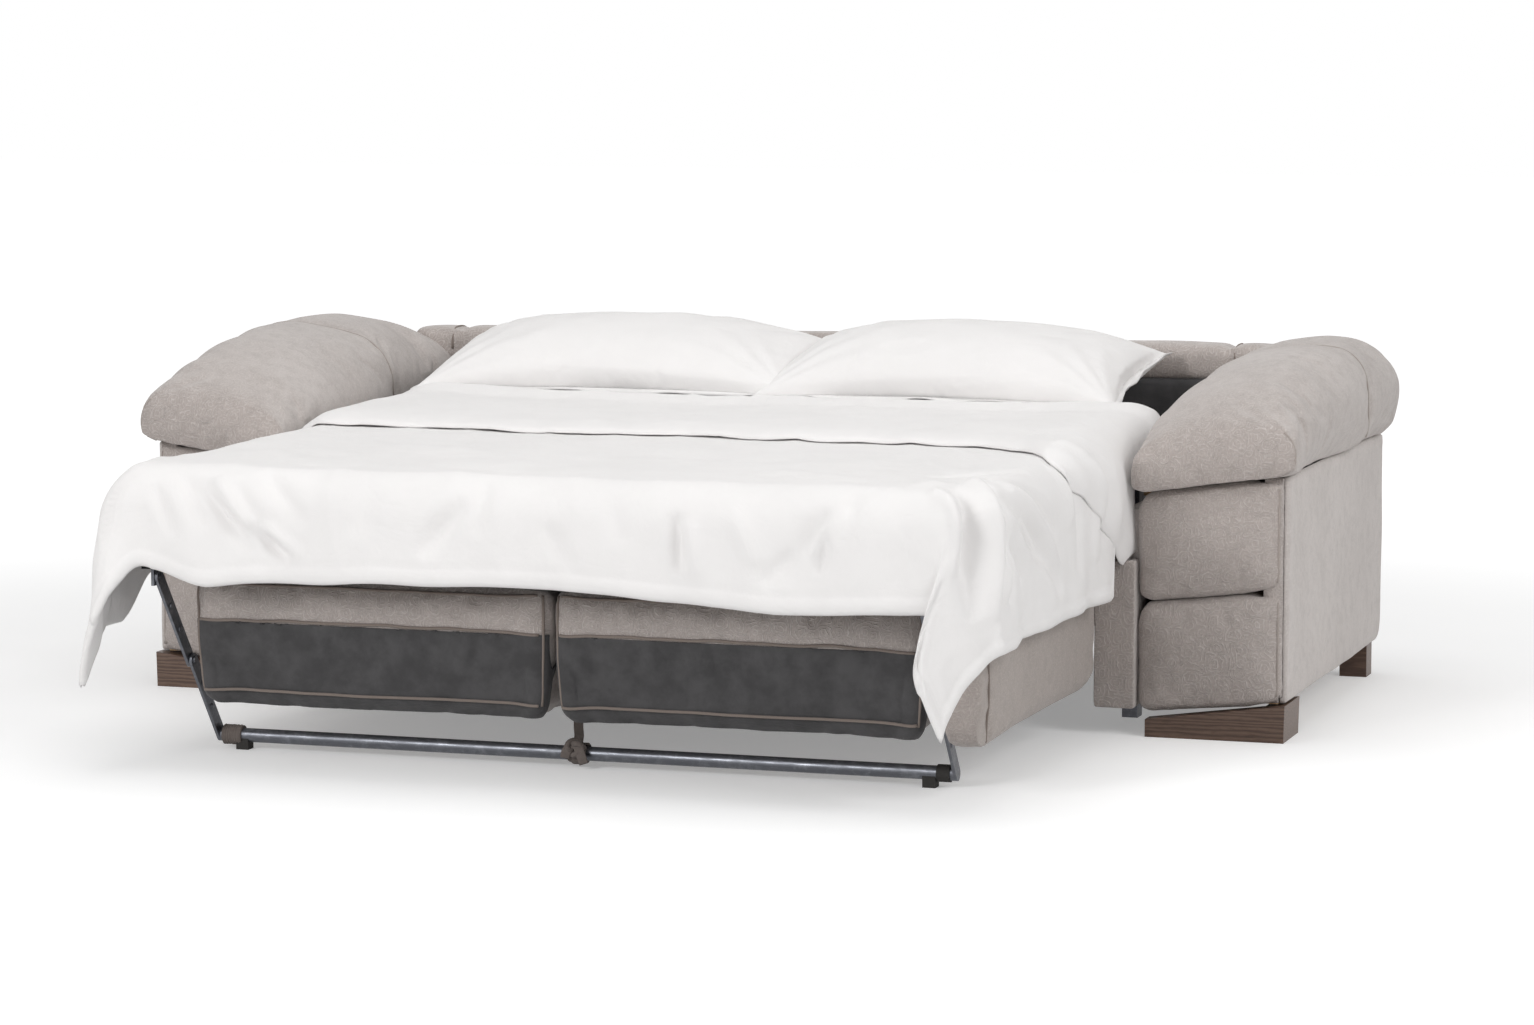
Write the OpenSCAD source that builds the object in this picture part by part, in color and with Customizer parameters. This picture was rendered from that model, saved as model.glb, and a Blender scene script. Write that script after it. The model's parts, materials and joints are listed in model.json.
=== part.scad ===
/* [Arms] */
// Clear width between the two arms
between_arms = 1880; // [1820:10:2100]
// Width of one arm at its blocks
arm_w = 310; // [260:10:360]
// Depth of an arm, front to back
arm_d = 1060; // [1040:10:1120]
// Height of an arm's underside at its inner edge
arm_low_in = 46; // [36:2:60]
// Height of an arm's underside at its outer edge
arm_low_out = 76; // [62:2:90]
// Height of the lower seam at the inner edge
seam_low_in = 272; // [250:2:300]
// Height of the lower seam at the outer edge
seam_low_out = 308; // [280:2:340]
// Height of the upper seam at the inner edge
seam_top_in = 497; // [470:2:520]
// Height of the upper seam at the outer edge
seam_top_out = 540; // [520:2:570]
// Gap between soft pieces that lie on each other
seam_gap = 0.6; // [0.3:0.1:0.9]
// How far an arm pillow stands out over the outer side
pillow_over = 55; // [30:5:80]
// How far an arm pillow's front tip stands out over the inner side
pillow_tip = 16; // [8:2:20]
// Height of the top of an arm pillow
pillow_top = 770; // [720:2:800]
// Thickness of the board inside an arm
arm_board_t = 25; // [18:1:30]
// Thickness of the padded cover on an arm's outer side
side_cover_t = 19; // [12:1:24]
// Depth of a front foot along the side of the arm
foot_d = 150; // [120:5:200]
// Side of a small back foot
back_foot_s = 60; // [40:5:80]

/* [Back] */
// Height of the top of the back roll
back_top = 728; // [690:2:750]
// Height of the back roll's lower edge
roll_low = 655; // [630:5:670]
// Depth of the back roll, front to back
roll_d = 100; // [90:5:110]
// Thickness of the back's wooden frame
back_frame_t = 34; // [24:2:38]
// Thickness of the lining in front of the back frame
lining_t = 26; // [16:2:28]
// Thickness of the padded cover on the rear of the back
rear_cover_t = 24; // [16:2:28]
// Height of the back's lower edge
back_low = 80; // [60:5:120]

/* [Bed] */
// Thickness of the mattress at its edges
mattress_t = 116; // [100:2:130]
// How far the middle of the mattress stands above its edges
mattress_crown = 5; // [2:1:10]
// Distance of the fold line in front of the arms
fold_ahead = 50; // [50:2:70]
// Height of the fold axis above the floor with the bed open
fold_h = 562; // [550:2:580]
// How far the head section sinks when the bed folds
sink = 390; // [370:2:394]
// Side of the square steel tube of the two sections
tube_s = 30; // [25:1:35]
// Thickness of a wooden slat
slat_t = 8; // [6:1:10]
// Width of a wooden slat
slat_w = 60; // [50:5:80]
// Number of slats in one section
slat_n = 7; // [5:1:9]
// Radius of a fold pin
pin_r = 5; // [4:0.5:6]
// Clearance round a pin in its bore
pin_clear = 0.05; // [0.03:0.01:0.1]
// Thickness of a fold plate
plate_t = 6; // [4:1:7]

/* [Seat] */
// Height of a seat block
seat_t = 262; // [240:2:270]
// How far a seat block stands out beside the mattress
seat_over = 60; // [40:2:62]
// Width of the padded flank outside each support leg
flank_w = 70; // [60:2:72]
// How far the middle of a seat block stands out over its edges
seat_crown = 8; // [0:1:14]
// How far a flank hangs below the seat blocks
flank_drop = 24; // [0:2:40]
// Gap between the two seat blocks
seat_split = 8; // [4:1:16]
// Thickness of the board that carries the seat blocks
board_t = 25; // [18:1:28]
// Height of the dark lining on the end of a seat block
end_lining_h = 150; // [120:5:170]
// Thickness of that lining
end_lining_t = 8; // [5:1:10]

/* [Support leg] */
// Radius of the tube across the floor
leg_tube_r = 14; // [12:1:16]
// Width of a leg bar
leg_bar_w = 28; // [24:2:32]
// Thickness of a leg bar
leg_bar_t = 6; // [5:0.5:7]
// How far the upper leg pivot lies below the section's tube
leg_pivot_drop = 26.7; // [22:0.1:31]
// How far the tube lies inward of the pivot
leg_reach = 257; // [240:2:270]
// Length of the upper leg bar between its pins
leg_upper_l = 225; // [215:1:230]
// Thickness of a rubber glide under the leg
glide_t = 14; // [10:1:16]

/* [Lift guides] */
// Inner width of a guide channel
channel_w = 32; // [28:1:36]
// Wall of a guide channel
channel_wall = 4; // [3:0.5:5]
// Clearance of a glider in its channel
glider_clear = 0.05; // [0.03:0.01:0.1]
// Distance of the front guide behind the arms' front
guide_front = 200; // [160:10:240]
// Distance between the two guides of one side
guide_pitch = 500; // [400:10:560]

/* [Bedding] */
// Thickness of the duvet
duvet_t = 26; // [18:1:28]
// Length of the duvet that hangs down at the foot end
duvet_hang = 205; // [160:5:230]
// Length of the duvet that hangs down at each side
duvet_side = 330; // [280:5:350]
// Length of the duvet that is tucked in beside the head half
duvet_tuck = 60; // [40:5:80]
// Depth of the part of the duvet that is turned back
cuff_l = 480; // [300:10:480]
// Thickness of a pillow
pillow_t = 165; // [130:5:180]
// Length of a pillow, front to back
pillow_l = 430; // [380:5:440]

/* [Fitted lengths] */
// Clear space between the mattress and each arm
bed_side = 140; // [120:5:200]
// Free depth behind the head half of the mattress
behind_head = 132; // [130:2:150]
// How much shorter the foot half of the mattress is than the arms are deep
foot_less = 172; // [172:2:200]
// How much shorter a seat block is than the arms are deep
seat_less = 260; // [250:5:300]
// Width of the slot for a leg bar between a seat block and its flank
leg_slot = 37; // [37:1:40]
// Length of the short flank on the left side
left_flank_l = 480; // [400:10:600]
// How far a flank stands out in front of the seat blocks
flank_ahead = 28; // [20:2:30]
// How far a flank reaches back beyond the seat blocks
flank_back = 40; // [30:2:44]
// Height of the side rail inside an arm
rail_h = 400; // [380:5:420]
// Height of the narrow panel beside the bed
panel_h = 304; // [280:4:320]
// Width of a bar of the back's wooden frame
post_w = 60; // [50:5:80]
// Depth of the narrow panel beside the bed
panel_d = 44; // [38:1:44]
// Thickness of the side rail inside an arm
rail_t = 34; // [28:1:34]
// How far a fold plate reaches along its section's tube
plate_reach = 110; // [90:5:130]
// Length of the pad between a fold plate and the foot section's tube
plate_pad_l = 60; // [50:5:70]
// How much longer a guide channel is than the head section sinks
guide_over = 102; // [100:1:110]

/* [Hidden] */

fabric = [0.69, 0.65, 0.62];
lining = [0.29, 0.29, 0.30];
steel = [0.42, 0.43, 0.45];
wood = [0.38, 0.27, 0.21];
plywood = [0.72, 0.58, 0.42];
linen = [0.96, 0.96, 0.96];
$fn = 40;

arm_in = between_arms / 2;
arm_out = arm_in + arm_w;
board_x = arm_out - side_cover_t - arm_board_t - seam_gap / 2;
fold_y = -fold_ahead;
mattress_top = fold_h - mattress_crown - 1;
mattress_low = mattress_top - mattress_t;
slat_low = mattress_low - slat_t - 0.3;
tube_low = slat_low - tube_s;
mattress_w = between_arms - 2 * bed_side;
frame_half = mattress_w / 2 + 40;
seat_half = mattress_w / 2 + seat_over;
head_end = arm_d - behind_head + 2;
foot_end = fold_y - 2 - (arm_d - foot_less);
seat_l = arm_d - seat_less;
board_top = tube_low;
board_low = board_top - board_t;
seat_high = board_low - 0.3;
seat_near = fold_y - 20;
seat_far = seat_near - seat_l;
back_y = arm_d - roll_d - 6;
rear_y = back_y + lining_t + 0.3 + back_frame_t + 0.3;
leg_pivot_y = foot_end - 17;
leg_pivot_h = tube_low - leg_pivot_drop;
leg_tube_y = leg_pivot_y + leg_reach;
leg_tube_z = glide_t + leg_tube_r;
leg_lean = atan2(leg_reach, leg_pivot_h - leg_tube_z);
leg_knee_y = leg_pivot_y + leg_upper_l * sin(leg_lean);
leg_knee_h = leg_pivot_h - leg_upper_l * cos(leg_lean);
block_half = seat_half - flank_w - leg_slot;
leg_half = block_half + 10;
block_mid = (block_half + seat_split / 2) / 2;
block_pull = 0.012;

function spow(a, e) = sign(a) * pow(abs(a), e);
function flatten(l) = [for (a = l) for (b = a) b];
function middle(r) = [for (k = [0:2]) let (s = [for (p = r) p[k]]) s * [for (p = r) 1] / len(r)];
function mix(a, b, t) = a * (1 - t) + b * t;
function step_up(x, a, b) = let (t = min(1, max(0, (x - a) / (b - a)))) t * t * (3 - 2 * t);
function in_quad(q, u, v) = mix(mix(q[0], q[1], (u + 1) / 2), mix(q[3], q[2], (u + 1) / 2), (v + 1) / 2);
function quad_ring(q, y, s, e, m) =
  [for (i = [0:m - 1]) let (t = 360 * (i + 0.5) / m, p = in_quad(q, s * spow(cos(t), e), s * spow(sin(t), e)))
    [p[0], y, p[1]]];

// Closed solid through a list of rings, first and last ring closed with a fan
module skin(rings) {
  m = len(rings[0]);
  n = len(rings);
  sides = [for (j = [0:n - 2]) for (i = [0:m - 1]) let (a = j * m + i, b = j * m + (i + 1) % m)
    each [[a, b, b + m], [a, b + m, a + m]]];
  first = [for (i = [0:m - 1]) [n * m, (i + 1) % m, i]];
  last = [for (i = [0:m - 1]) [n * m + 1, (n - 1) * m + i, (n - 1) * m + (i + 1) % m]];
  polyhedron(concat(flatten(rings), [middle(rings[0]), middle(rings[n - 1])]), concat(sides, first, last));
}

// Cushion, centred, with crowned faces and sides that are drawn in between the corners
module cushion(w, d, h, crown_up, crown_down, pull, e_plan, e_side, m, n) {
  function plan(t, s) = let (
    u = s * spow(cos(t), e_plan), v = s * spow(sin(t), e_plan))
    [u * w / 2 * (1 - pull * (1 - v * v)), v * d / 2 * (1 - pull * (1 - u * u))];
  function lift(x, y) = (1 - pow(2 * x / w, 2)) * (1 - pow(2 * y / d, 2));
  rings = [for (j = [0:n - 1]) let (
    a = 84 - 168 * j / (n - 1),
    s = pow(cos(a), e_side),
    z = h / 2 * spow(sin(a), e_side) / pow(sin(84), e_side))
    [for (i = [0:m - 1]) let (p = plan(360 * (i + 0.5) / m, s), c = lift(p[0], p[1]))
      [p[0], p[1], z + (a > 0 ? crown_up * c * sin(a) : crown_down * c * sin(a))]]];
  skin(rings);
}

module both_sides() {
  children();
  mirror([1, 0, 0]) children();
}

// Upholstered block of an arm, right side, between two sloping seams
module arm_block(low_in, low_out, top_in, top_out, setback) {
  x_out = board_x - 0.4;
  slope = (x_out - arm_in) / arm_w;
  q = [[arm_in, low_in], [x_out, mix(low_in, low_out, slope)],
       [x_out, mix(top_in, top_out, slope)], [arm_in, top_in]];
  ends = [[0, 0.86], [5, 0.94], [16, 0.985], [40, 1]];
  depth = arm_d - 16 - setback;
  rings = concat(
    [for (s = ends) quad_ring(q, setback + s[0], s[1], 0.24, 24)],
    [for (k = [len(ends) - 1:-1:0]) quad_ring(q, setback + depth - ends[k][0], ends[k][1], 0.24, 24)]);
  skin(rings);
}
module arm_block_lower() color(fabric)
  arm_block(arm_low_in + seam_gap / 2, arm_low_out + seam_gap / 2,
            seam_low_in - seam_gap / 2, seam_low_out - seam_gap / 2, 2);
module arm_block_middle() color(fabric)
  arm_block(seam_low_in + seam_gap / 2, seam_low_out + seam_gap / 2,
            seam_top_in - seam_gap / 2, seam_top_out - seam_gap / 2, 0);

// Big pillow on top of an arm: low wedge in front, rising and swelling to the back
module arm_pillow() color(fabric) {
  rise = pillow_top - seam_top_out;
  stations = [[-22, 0.40, 0], [-14, 0.47, 0], [0, 0.53, 0.02], [0.06 * arm_d, 0.63, 0.08],
              [0.14 * arm_d, 0.77, 0.2], [0.28 * arm_d, 0.91, 0.4], [0.45 * arm_d, 0.99, 0.62],
              [0.66 * arm_d, 1.01, 0.86], [0.83 * arm_d, 0.97, 1], [0.935 * arm_d, 0.85, 1],
              [arm_d - 22, 0.66, 0.9], [arm_d, 0.36, 0.7]];
  inset = [0.86, 0.96, 1, 1, 1, 1, 1, 1, 1, 0.98, 0.92, 0.7];
  rings = [for (k = [0:len(stations) - 1]) let (
    s = stations[k], h = rise * s[1], over = 30 + (pillow_over - 30) * s[2],
    x0 = arm_in - pillow_tip * (1 - s[2]) + s[2], x1 = arm_out + over,
    xm = (x0 + x1) / 2, half = (x1 - x0) / 2 * inset[k])
    [for (i = [0:27]) let (
      t = 360 * (i + 0.5) / 28,
      u = spow(cos(t), 0.55),
      x = xm + half * u,
      low = seam_gap / 2 + mix(seam_top_in, seam_top_out, (x - arm_in) / arm_w),
      side = (1 - s[2]) * (u < 0 ? 1 : 0) * 0.45,
      v = spow(sin(t), 0.6))
      [x, s[0], low + (v < 0 ? (1 + v) * h * 0.28 : h * 0.28 + v * h * 0.72 * (1 + side * u))]]];
  skin(rings);
}

module arm_board() color(plywood)
  translate([board_x, 34, 0])
    rotate([90, 0, 90]) linear_extrude(arm_board_t)
      polygon([[0, arm_low_out], [arm_d - 80, arm_low_out],
               [arm_d - 80, seam_top_in - 12], [0, seam_top_in - 12]]);

// Padded outer side of an arm, with a short return over the front edge of the board
module arm_side_cover() color(fabric) {
  r = 46;
  high = seam_top_out - 2;
  translate([arm_out - side_cover_t, 6, 0]) rotate([90, 0, 90]) linear_extrude(side_cover_t)
    polygon(concat([[0, arm_low_out], [0, high], [arm_d - 12, high]],
      [for (a = [0:15:90]) [arm_d - 12 - r + r * cos(a), arm_low_out + r - r * sin(a)]]));
  translate([board_x, 6, 0])
    rotate([90, 0, 0]) mirror([0, 0, 1]) linear_extrude(27)
      polygon([[0, arm_low_out], [arm_board_t + seam_gap / 2 + 1, arm_low_out],
               [arm_board_t + seam_gap / 2 + 1, high - 8], [0, high - 8]]);
}

// Wedge foot under the front corner of an arm, with a return along the side
module front_foot() {
  x0 = arm_in + 22;
  z0 = mix(arm_low_in, arm_low_out, 22 / arm_w) - 12;
  module wedge(from) polygon([[from, 0], [arm_out - 2, 0], [arm_out, arm_low_out - 0.3],
    [from, mix(z0, arm_low_out - 0.3, (from - x0) / (arm_out - x0))]]);
  color(wood) {
    translate([0, 46, 0]) rotate([90, 0, 0]) linear_extrude(40) wedge(x0);
    translate([0, foot_d + 6, 0]) rotate([90, 0, 0]) linear_extrude(foot_d) wedge(arm_out - 46);
  }
}

function arm_low(x) = mix(arm_low_in, arm_low_out, (x - arm_in) / arm_w) - 0.3;
module back_feet() {
  x1 = arm_out - 14;
  x0 = x1 - back_foot_s;
  color(wood) both_sides() translate([0, arm_d - 40, 0]) rotate([90, 0, 0]) linear_extrude(back_foot_s)
    polygon([[x0, 0], [x1, 0], [x1, arm_low_out - 0.3], [board_x, arm_low_out - 0.3],
             [board_x, arm_low(board_x)], [x0, arm_low(x0)]]);
}

// Narrow fixed panel that closes the front of the gap beside the bed
module gap_panel() color(fabric)
  translate([seat_half + 13, 2, 56]) cube([arm_in - seat_half - 13.6, panel_d, panel_h]);

module base_rail() color(plywood)
  translate([arm_in - rail_t - 0.6, panel_d + 2.6, 60]) cube([rail_t, back_y - panel_d - 6, rail_h]);

module back_frame() color(plywood) {
  y = back_y + lining_t + 0.3;
  half = arm_in - 0.3;
  for (z = [back_low + 6, roll_low - post_w - 10])
    translate([-half, y, z]) cube([2 * half, back_frame_t, post_w]);
  for (x = [-half, -post_w / 2, half - post_w]) translate([x, y, back_low + post_w + 6])
    cube([post_w, back_frame_t, roll_low - 2 * post_w - 16 - back_low]);
}
module back_lining() color(lining)
  translate([-arm_in + 2, back_y, back_low + 10])
    cube([between_arms - 4, lining_t, roll_low - back_low - 10.3]);
module back_rear_cover() color(fabric)
  translate([-arm_in + 1, rear_y, back_low])
    cube([between_arms - 2, rear_cover_t, roll_low - back_low - 0.3]);
module back_roll() {
  half = between_arms / 2 - 1;
  h = back_top - roll_low;
  ends = [[0, 0.8], [6, 0.94], [20, 1]];
  function ring(x, s) = [for (i = [0:19]) let (t = -360 * (i + 0.5) / 20)
    [x, back_y + roll_d / 2 * (1 + s * spow(cos(t), 0.55)), roll_low + h / 2 * (1 + s * spow(sin(t), 0.5))]];
  color(fabric) skin(concat([for (e = ends) ring(-half + e[0], e[1])],
                            [for (k = [2:-1:0]) ring(half - ends[k][0], ends[k][1])]));
}

// Steel channels that guide the head section up and down
module lift_guide() color(steel) {
  x0 = seat_half + 12;
  deep = arm_in - rail_t - 0.6 - x0 - 0.2;
  for (k = [0, 1]) translate([x0, guide_front + k * guide_pitch - channel_w / 2 - channel_wall, 10])
    difference() {
      cube([deep, channel_w + 2 * channel_wall, sink + guide_over]);
      translate([-1, channel_wall, -1]) cube([deep - channel_wall + 1, channel_w, fold_h]);
    }
}
module head_gliders() color(lining)
  both_sides() for (k = [0, 1]) translate([0, guide_front + k * guide_pitch, tube_low + tube_s / 2]) {
    translate([seat_half + 14, -channel_w / 2 + glider_clear, -15])
      cube([arm_in - rail_t - 0.6 - seat_half - 14 - channel_wall - 4, channel_w - 2 * glider_clear, 30]);
    translate([frame_half, 0, 0]) rotate([0, 90, 0]) cylinder(h = seat_half + 14 - frame_half, r = 8);
  }

// Welded frame of square tube with cross tubes at the given places
module tube_frame(y0, y1, cross) {
  for (x = [-frame_half, frame_half - tube_s]) translate([x, y0, tube_low]) cube([tube_s, y1 - y0, tube_s]);
  for (y = cross)
    translate([-frame_half + tube_s, y, tube_low]) cube([2 * (frame_half - tube_s), tube_s, tube_s]);
}
module head_frame() color(steel)
  tube_frame(fold_y + 8, head_end, [fold_y + 8, (fold_y + head_end) / 2, head_end - tube_s]);
module foot_frame() color(steel)
  tube_frame(foot_end, fold_y - 8, [foot_end, (fold_y + foot_end) / 2, fold_y - 8 - tube_s]);

module slats(y0, y1) {
  pitch = (y1 - y0 - slat_w) / (slat_n - 1);
  for (k = [0:slat_n - 1])
    translate([-frame_half + 4, y0 + k * pitch, slat_low]) cube([2 * frame_half - 8, slat_w, slat_t]);
}
module head_slats() color(plywood) slats(fold_y + 12, head_end - 4);
module foot_slats() color(plywood) slats(foot_end + 4, fold_y - 12);

// Side plate of the fold, from a section's tube up to the fold axis
module fold_plate(x, dir) translate([x, 0, 0]) rotate([90, 0, 90]) difference() {
  linear_extrude(plate_t) {
    polygon([[fold_y + dir * 14, tube_low], [fold_y + dir * plate_reach, tube_low],
             [fold_y + dir * plate_reach, tube_low + tube_s], [fold_y + dir * 10, fold_h + 6],
             [fold_y - dir * 9, fold_h + 6], [fold_y - dir * 12, fold_h - 12]]);
    translate([fold_y, fold_h]) circle(r = pin_r + 7);
  }
  translate([fold_y, fold_h, -1]) cylinder(h = plate_t + 2, r = pin_r + pin_clear);
}
module head_fold_plates() color(steel) both_sides() fold_plate(frame_half, 1);
module foot_fold_plates() color(steel) both_sides() {
  fold_plate(frame_half + plate_t + 0.4, -1);
  translate([frame_half, fold_y - plate_reach + 20, tube_low + 4])
    cube([plate_t + 0.4, plate_pad_l, tube_s - 8]);
}
module fold_pins() color(steel) both_sides()
  translate([frame_half - 4, fold_y, fold_h]) rotate([0, 90, 0]) {
    cylinder(h = 2 * plate_t + 6, r = pin_r);
    translate([0, 0, 0]) cylinder(h = 3.6, r = pin_r + 4);
  }

module mattress(y0, y1) color(linen)
  translate([0, (y0 + y1) / 2, mattress_low + mattress_t / 2])
    cushion(mattress_w, y1 - y0, mattress_t, mattress_crown, 0, 0.004, 0.08, 0.22, 32, 7);
module mattress_head() mattress(fold_y + 2, head_end);
module mattress_foot() mattress(foot_end, fold_y - 2);

module seat_board() color(lining)
  translate([-seat_half + 4, seat_far + 6, board_low]) cube([2 * seat_half - 8, seat_l - 12, board_t]);
module seat_block() color(fabric)
  translate([block_mid, (seat_near + seat_far) / 2, seat_high - (seat_t - seat_crown) / 2])
    cushion(block_half - seat_split / 2, seat_l, seat_t - seat_crown, 0, seat_crown, block_pull, 0.14, 0.34,
            30, 9);
module seat_end_lining() color(lining)
  translate([block_mid, seat_far + seat_l / 2 * block_pull - end_lining_t / 2 - 0.8,
             seat_high - seat_t + 24 + end_lining_h / 2])
    rotate([90, 0, 0]) cushion(block_half - 60, end_lining_h, end_lining_t, 0, 0, 0.01, 0.3, 0.5, 20, 4);
module seat_flank(l, drop) color(fabric)
  translate([seat_half - flank_w / 2, seat_near + flank_back - l / 2, seat_high - (seat_t + drop) / 2])
    cushion(flank_w, l, seat_t + drop, 0, 0, 0.01, 0.2, 0.3, 24, 7);
// The left flank is short, as nothing of it shows in front
module seat_flank_left() seat_flank(left_flank_l, 0);
module seat_flank_right() seat_flank(seat_l + flank_ahead + flank_back, flank_drop);

module bar_between(a, b, w, t) {
  along = b - a;
  turn = atan2(along[1], along[0]);
  translate([0, a[0], a[1]]) rotate([turn, 0, 0]) rotate([90, 0, 90]) linear_extrude(t) union() {
    translate([0, -w / 2]) square([norm(along), w]);
    circle(r = w / 2);
    translate([norm(along), 0]) circle(r = w / 2);
  }
}
module x_pin(x, y, z, h, r) translate([x, y, z]) rotate([0, 90, 0]) cylinder(h = h, r = r);

bracket_x = leg_half + 2 * leg_bar_t + 1;
module leg_brackets() color(steel) both_sides() difference() {
  translate([bracket_x, leg_pivot_y - 16, leg_pivot_h - 16])
    cube([leg_bar_t, foot_end - leg_pivot_y + 16, tube_low + tube_s - leg_pivot_h + 16]);
  x_pin(bracket_x - 1, leg_pivot_y, leg_pivot_h, leg_bar_t + 2, pin_r + pin_clear);
}
module leg_pivot_pins() color(steel) both_sides() {
  x_pin(leg_half + leg_bar_t - 1, leg_pivot_y, leg_pivot_h, 2 * leg_bar_t + 4, pin_r);
  x_pin(bracket_x + leg_bar_t + 0.2, leg_pivot_y, leg_pivot_h, 3, pin_r + 4);
}
module leg_upper_plates() color(steel) both_sides() difference() {
  translate([leg_half + leg_bar_t + 0.5, 0, 0])
    bar_between([leg_pivot_y, leg_pivot_h], [leg_knee_y, leg_knee_h], leg_bar_w, leg_bar_t);
  x_pin(leg_half, leg_pivot_y, leg_pivot_h, 30, pin_r + pin_clear);
  x_pin(leg_half, leg_knee_y, leg_knee_h, 30, pin_r + pin_clear);
}
module leg_knee_pins() color(steel) both_sides() {
  x_pin(leg_half - 2, leg_knee_y, leg_knee_h, 2 * leg_bar_t + 4, pin_r);
  x_pin(leg_half - 3.2, leg_knee_y, leg_knee_h, 3, pin_r + 3);
}
module leg_bars() color(steel) both_sides() difference() {
  translate([leg_half, 0, 0])
    bar_between([leg_knee_y, leg_knee_h], [leg_tube_y, leg_tube_z], leg_bar_w, leg_bar_t);
  x_pin(leg_half - 1, leg_knee_y, leg_knee_h, leg_bar_t + 2, pin_r + pin_clear);
}
module leg_tube() color(steel)
  translate([-leg_half, leg_tube_y, leg_tube_z]) rotate([0, 90, 0]) difference() {
    cylinder(h = 2 * leg_half, r = leg_tube_r);
    translate([0, 0, 8]) cylinder(h = 2 * leg_half - 16, r = leg_tube_r - 2);
  }
module leg_end_collars() color(lining) both_sides()
  translate([leg_half - 34, leg_tube_y, leg_tube_z]) rotate([0, 90, 0]) difference() {
    cylinder(h = 26, r = leg_tube_r + 3);
    translate([0, 0, -1]) cylinder(h = 28, r = leg_tube_r + 0.05);
  }
module leg_strap_loop() color(fabric)
  translate([-15, leg_tube_y, leg_tube_z]) rotate([0, 90, 0]) difference() {
    union() {
      cylinder(h = 30, r = leg_tube_r + 4);
      translate([-leg_tube_r - 46, -3, 3]) cube([44, 6, 24]);
    }
    translate([0, 0, -1]) cylinder(h = 32, r = leg_tube_r + 0.05);
  }
module leg_glides() color(lining) both_sides()
  translate([leg_half - 62, leg_tube_y, 0]) difference() {
    translate([0, -13, 0]) cube([26, 26, leg_tube_z]);
    x_pin(-1, 0, leg_tube_z, 28, leg_tube_r + 0.05);
  }

sheet_top = mattress_top + mattress_crown + 1;
module pillow(x, w, turn) color(linen)
  translate([x, head_end - pillow_l / 2 - 4, sheet_top + pillow_t / 2 + 16]) rotate([11, 0, turn])
    cushion(w, pillow_l, pillow_t, 14, 4, 0.05, 0.42, 0.62, 26, 9);
module pillow_left() pillow(-0.27375 * mattress_w, 0.53125 * mattress_w, 2);
module pillow_right() pillow(0.255 * mattress_w, 0.5 * mattress_w, -2);

// Duvet: laid on the mattress, hanging over the foot end and the sides, flared at its corners
duvet_half = mattress_w / 2 + 50;
duvet_bend = 48;
duvet_lift = 14;
duvet_high = sheet_top + duvet_t + duvet_lift;
duvet_start = head_end - pillow_l - 60;
duvet_lay = foot_end - 20;
function side_length(b) = mix(duvet_side, duvet_tuck, step_up(b, -110, -20));
function draped(a, b, inner) = let (
  ea = max(0, abs(a) - duvet_half), eb = max(0, duvet_lay - b), r = norm([ea, eb]),
  f = r > 0 ? atan2(eb, ea) : 0,
  flare = 3 + 20 * pow(sin(2 * f), 2),
  bend = duvet_bend - inner, arc = (90 - flare) * PI / 180 * bend,
  turn = min(r, arc) / bend * 180 / PI, rest = max(0, r - arc),
  out = bend * sin(turn) + rest * sin(flare), down = bend * (1 - cos(turn)) + rest * cos(flare),
  wave = 7 * step_up(r, 30, 200) * (f > 45 ? sin(a * 0.9) : sin(b * 1.1)),
  flat = cos(90 * min(1, abs(a) / duvet_half)),
  top = flat * (3 * (1 + sin(a * 0.25 + 30) * sin(b * 0.32)) - duvet_lift - 0.7) * (1 - step_up(r, 0, 40)))
  [sign(a) * (min(abs(a), duvet_half) + (out + wave * (out > 0 ? 1 : 0)) * cos(f)),
   max(b, duvet_lay) - (out + wave * (out > 0 ? 1 : 0)) * sin(f), duvet_high - inner + top - down];
duvet_cols = [for (k = [0:24]) (k - 12) / 12];
function col_at(s, b) = let (t = abs(s), side = side_length(b))
  sign(s) * (t < 0.5 ? t / 0.5 * duvet_half : duvet_half + (t - 0.5) / 0.5 * side);
duvet_rows = concat([for (k = [0:11]) mix(duvet_start, duvet_lay, k / 11)],
  [for (k = [1:5]) duvet_lay - duvet_hang * k / 5 - 20 * k / 5]);

// Closed sheet between an outer and an inner grid of points
module thick_sheet(outer, inner) {
  n = len(outer);
  m = len(outer[0]);
  o = n * m;
  top = [for (j = [0:n - 2]) for (i = [0:m - 2]) let (a = j * m + i)
    each [[a, a + 1, a + m + 1], [a, a + m + 1, a + m]]];
  low = [for (t = top) [t[2] + o, t[1] + o, t[0] + o]];
  rim = concat([for (i = [0:m - 2]) i + 1], [for (j = [1:n - 1]) j * m + m - 1],
    [for (i = [m - 2:-1:0]) (n - 1) * m + i], [for (j = [n - 2:-1:0]) j * m]);
  edge = [for (k = [0:len(rim) - 1]) let (a = rim[k], b = rim[(k + 1) % len(rim)])
    each [[b, a, a + o], [b, a + o, b + o]]];
  polyhedron(concat(flatten(outer), flatten(inner)), concat(top, low, edge));
}
module duvet() color(linen)
  thick_sheet([for (b = duvet_rows) [for (s = duvet_cols) draped(col_at(s, b), b, 0)]],
              [for (b = duvet_rows) [for (s = duvet_cols) draped(col_at(s, b), b, duvet_t)]]);
cuff_rows = [for (k = [0:4]) duvet_start - 4 - cuff_l * k / 4];
function cuff_point(s, b, up) = [s * duvet_half, b, draped(s * duvet_half, b, 0)[2] + 0.5 + up];
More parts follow.
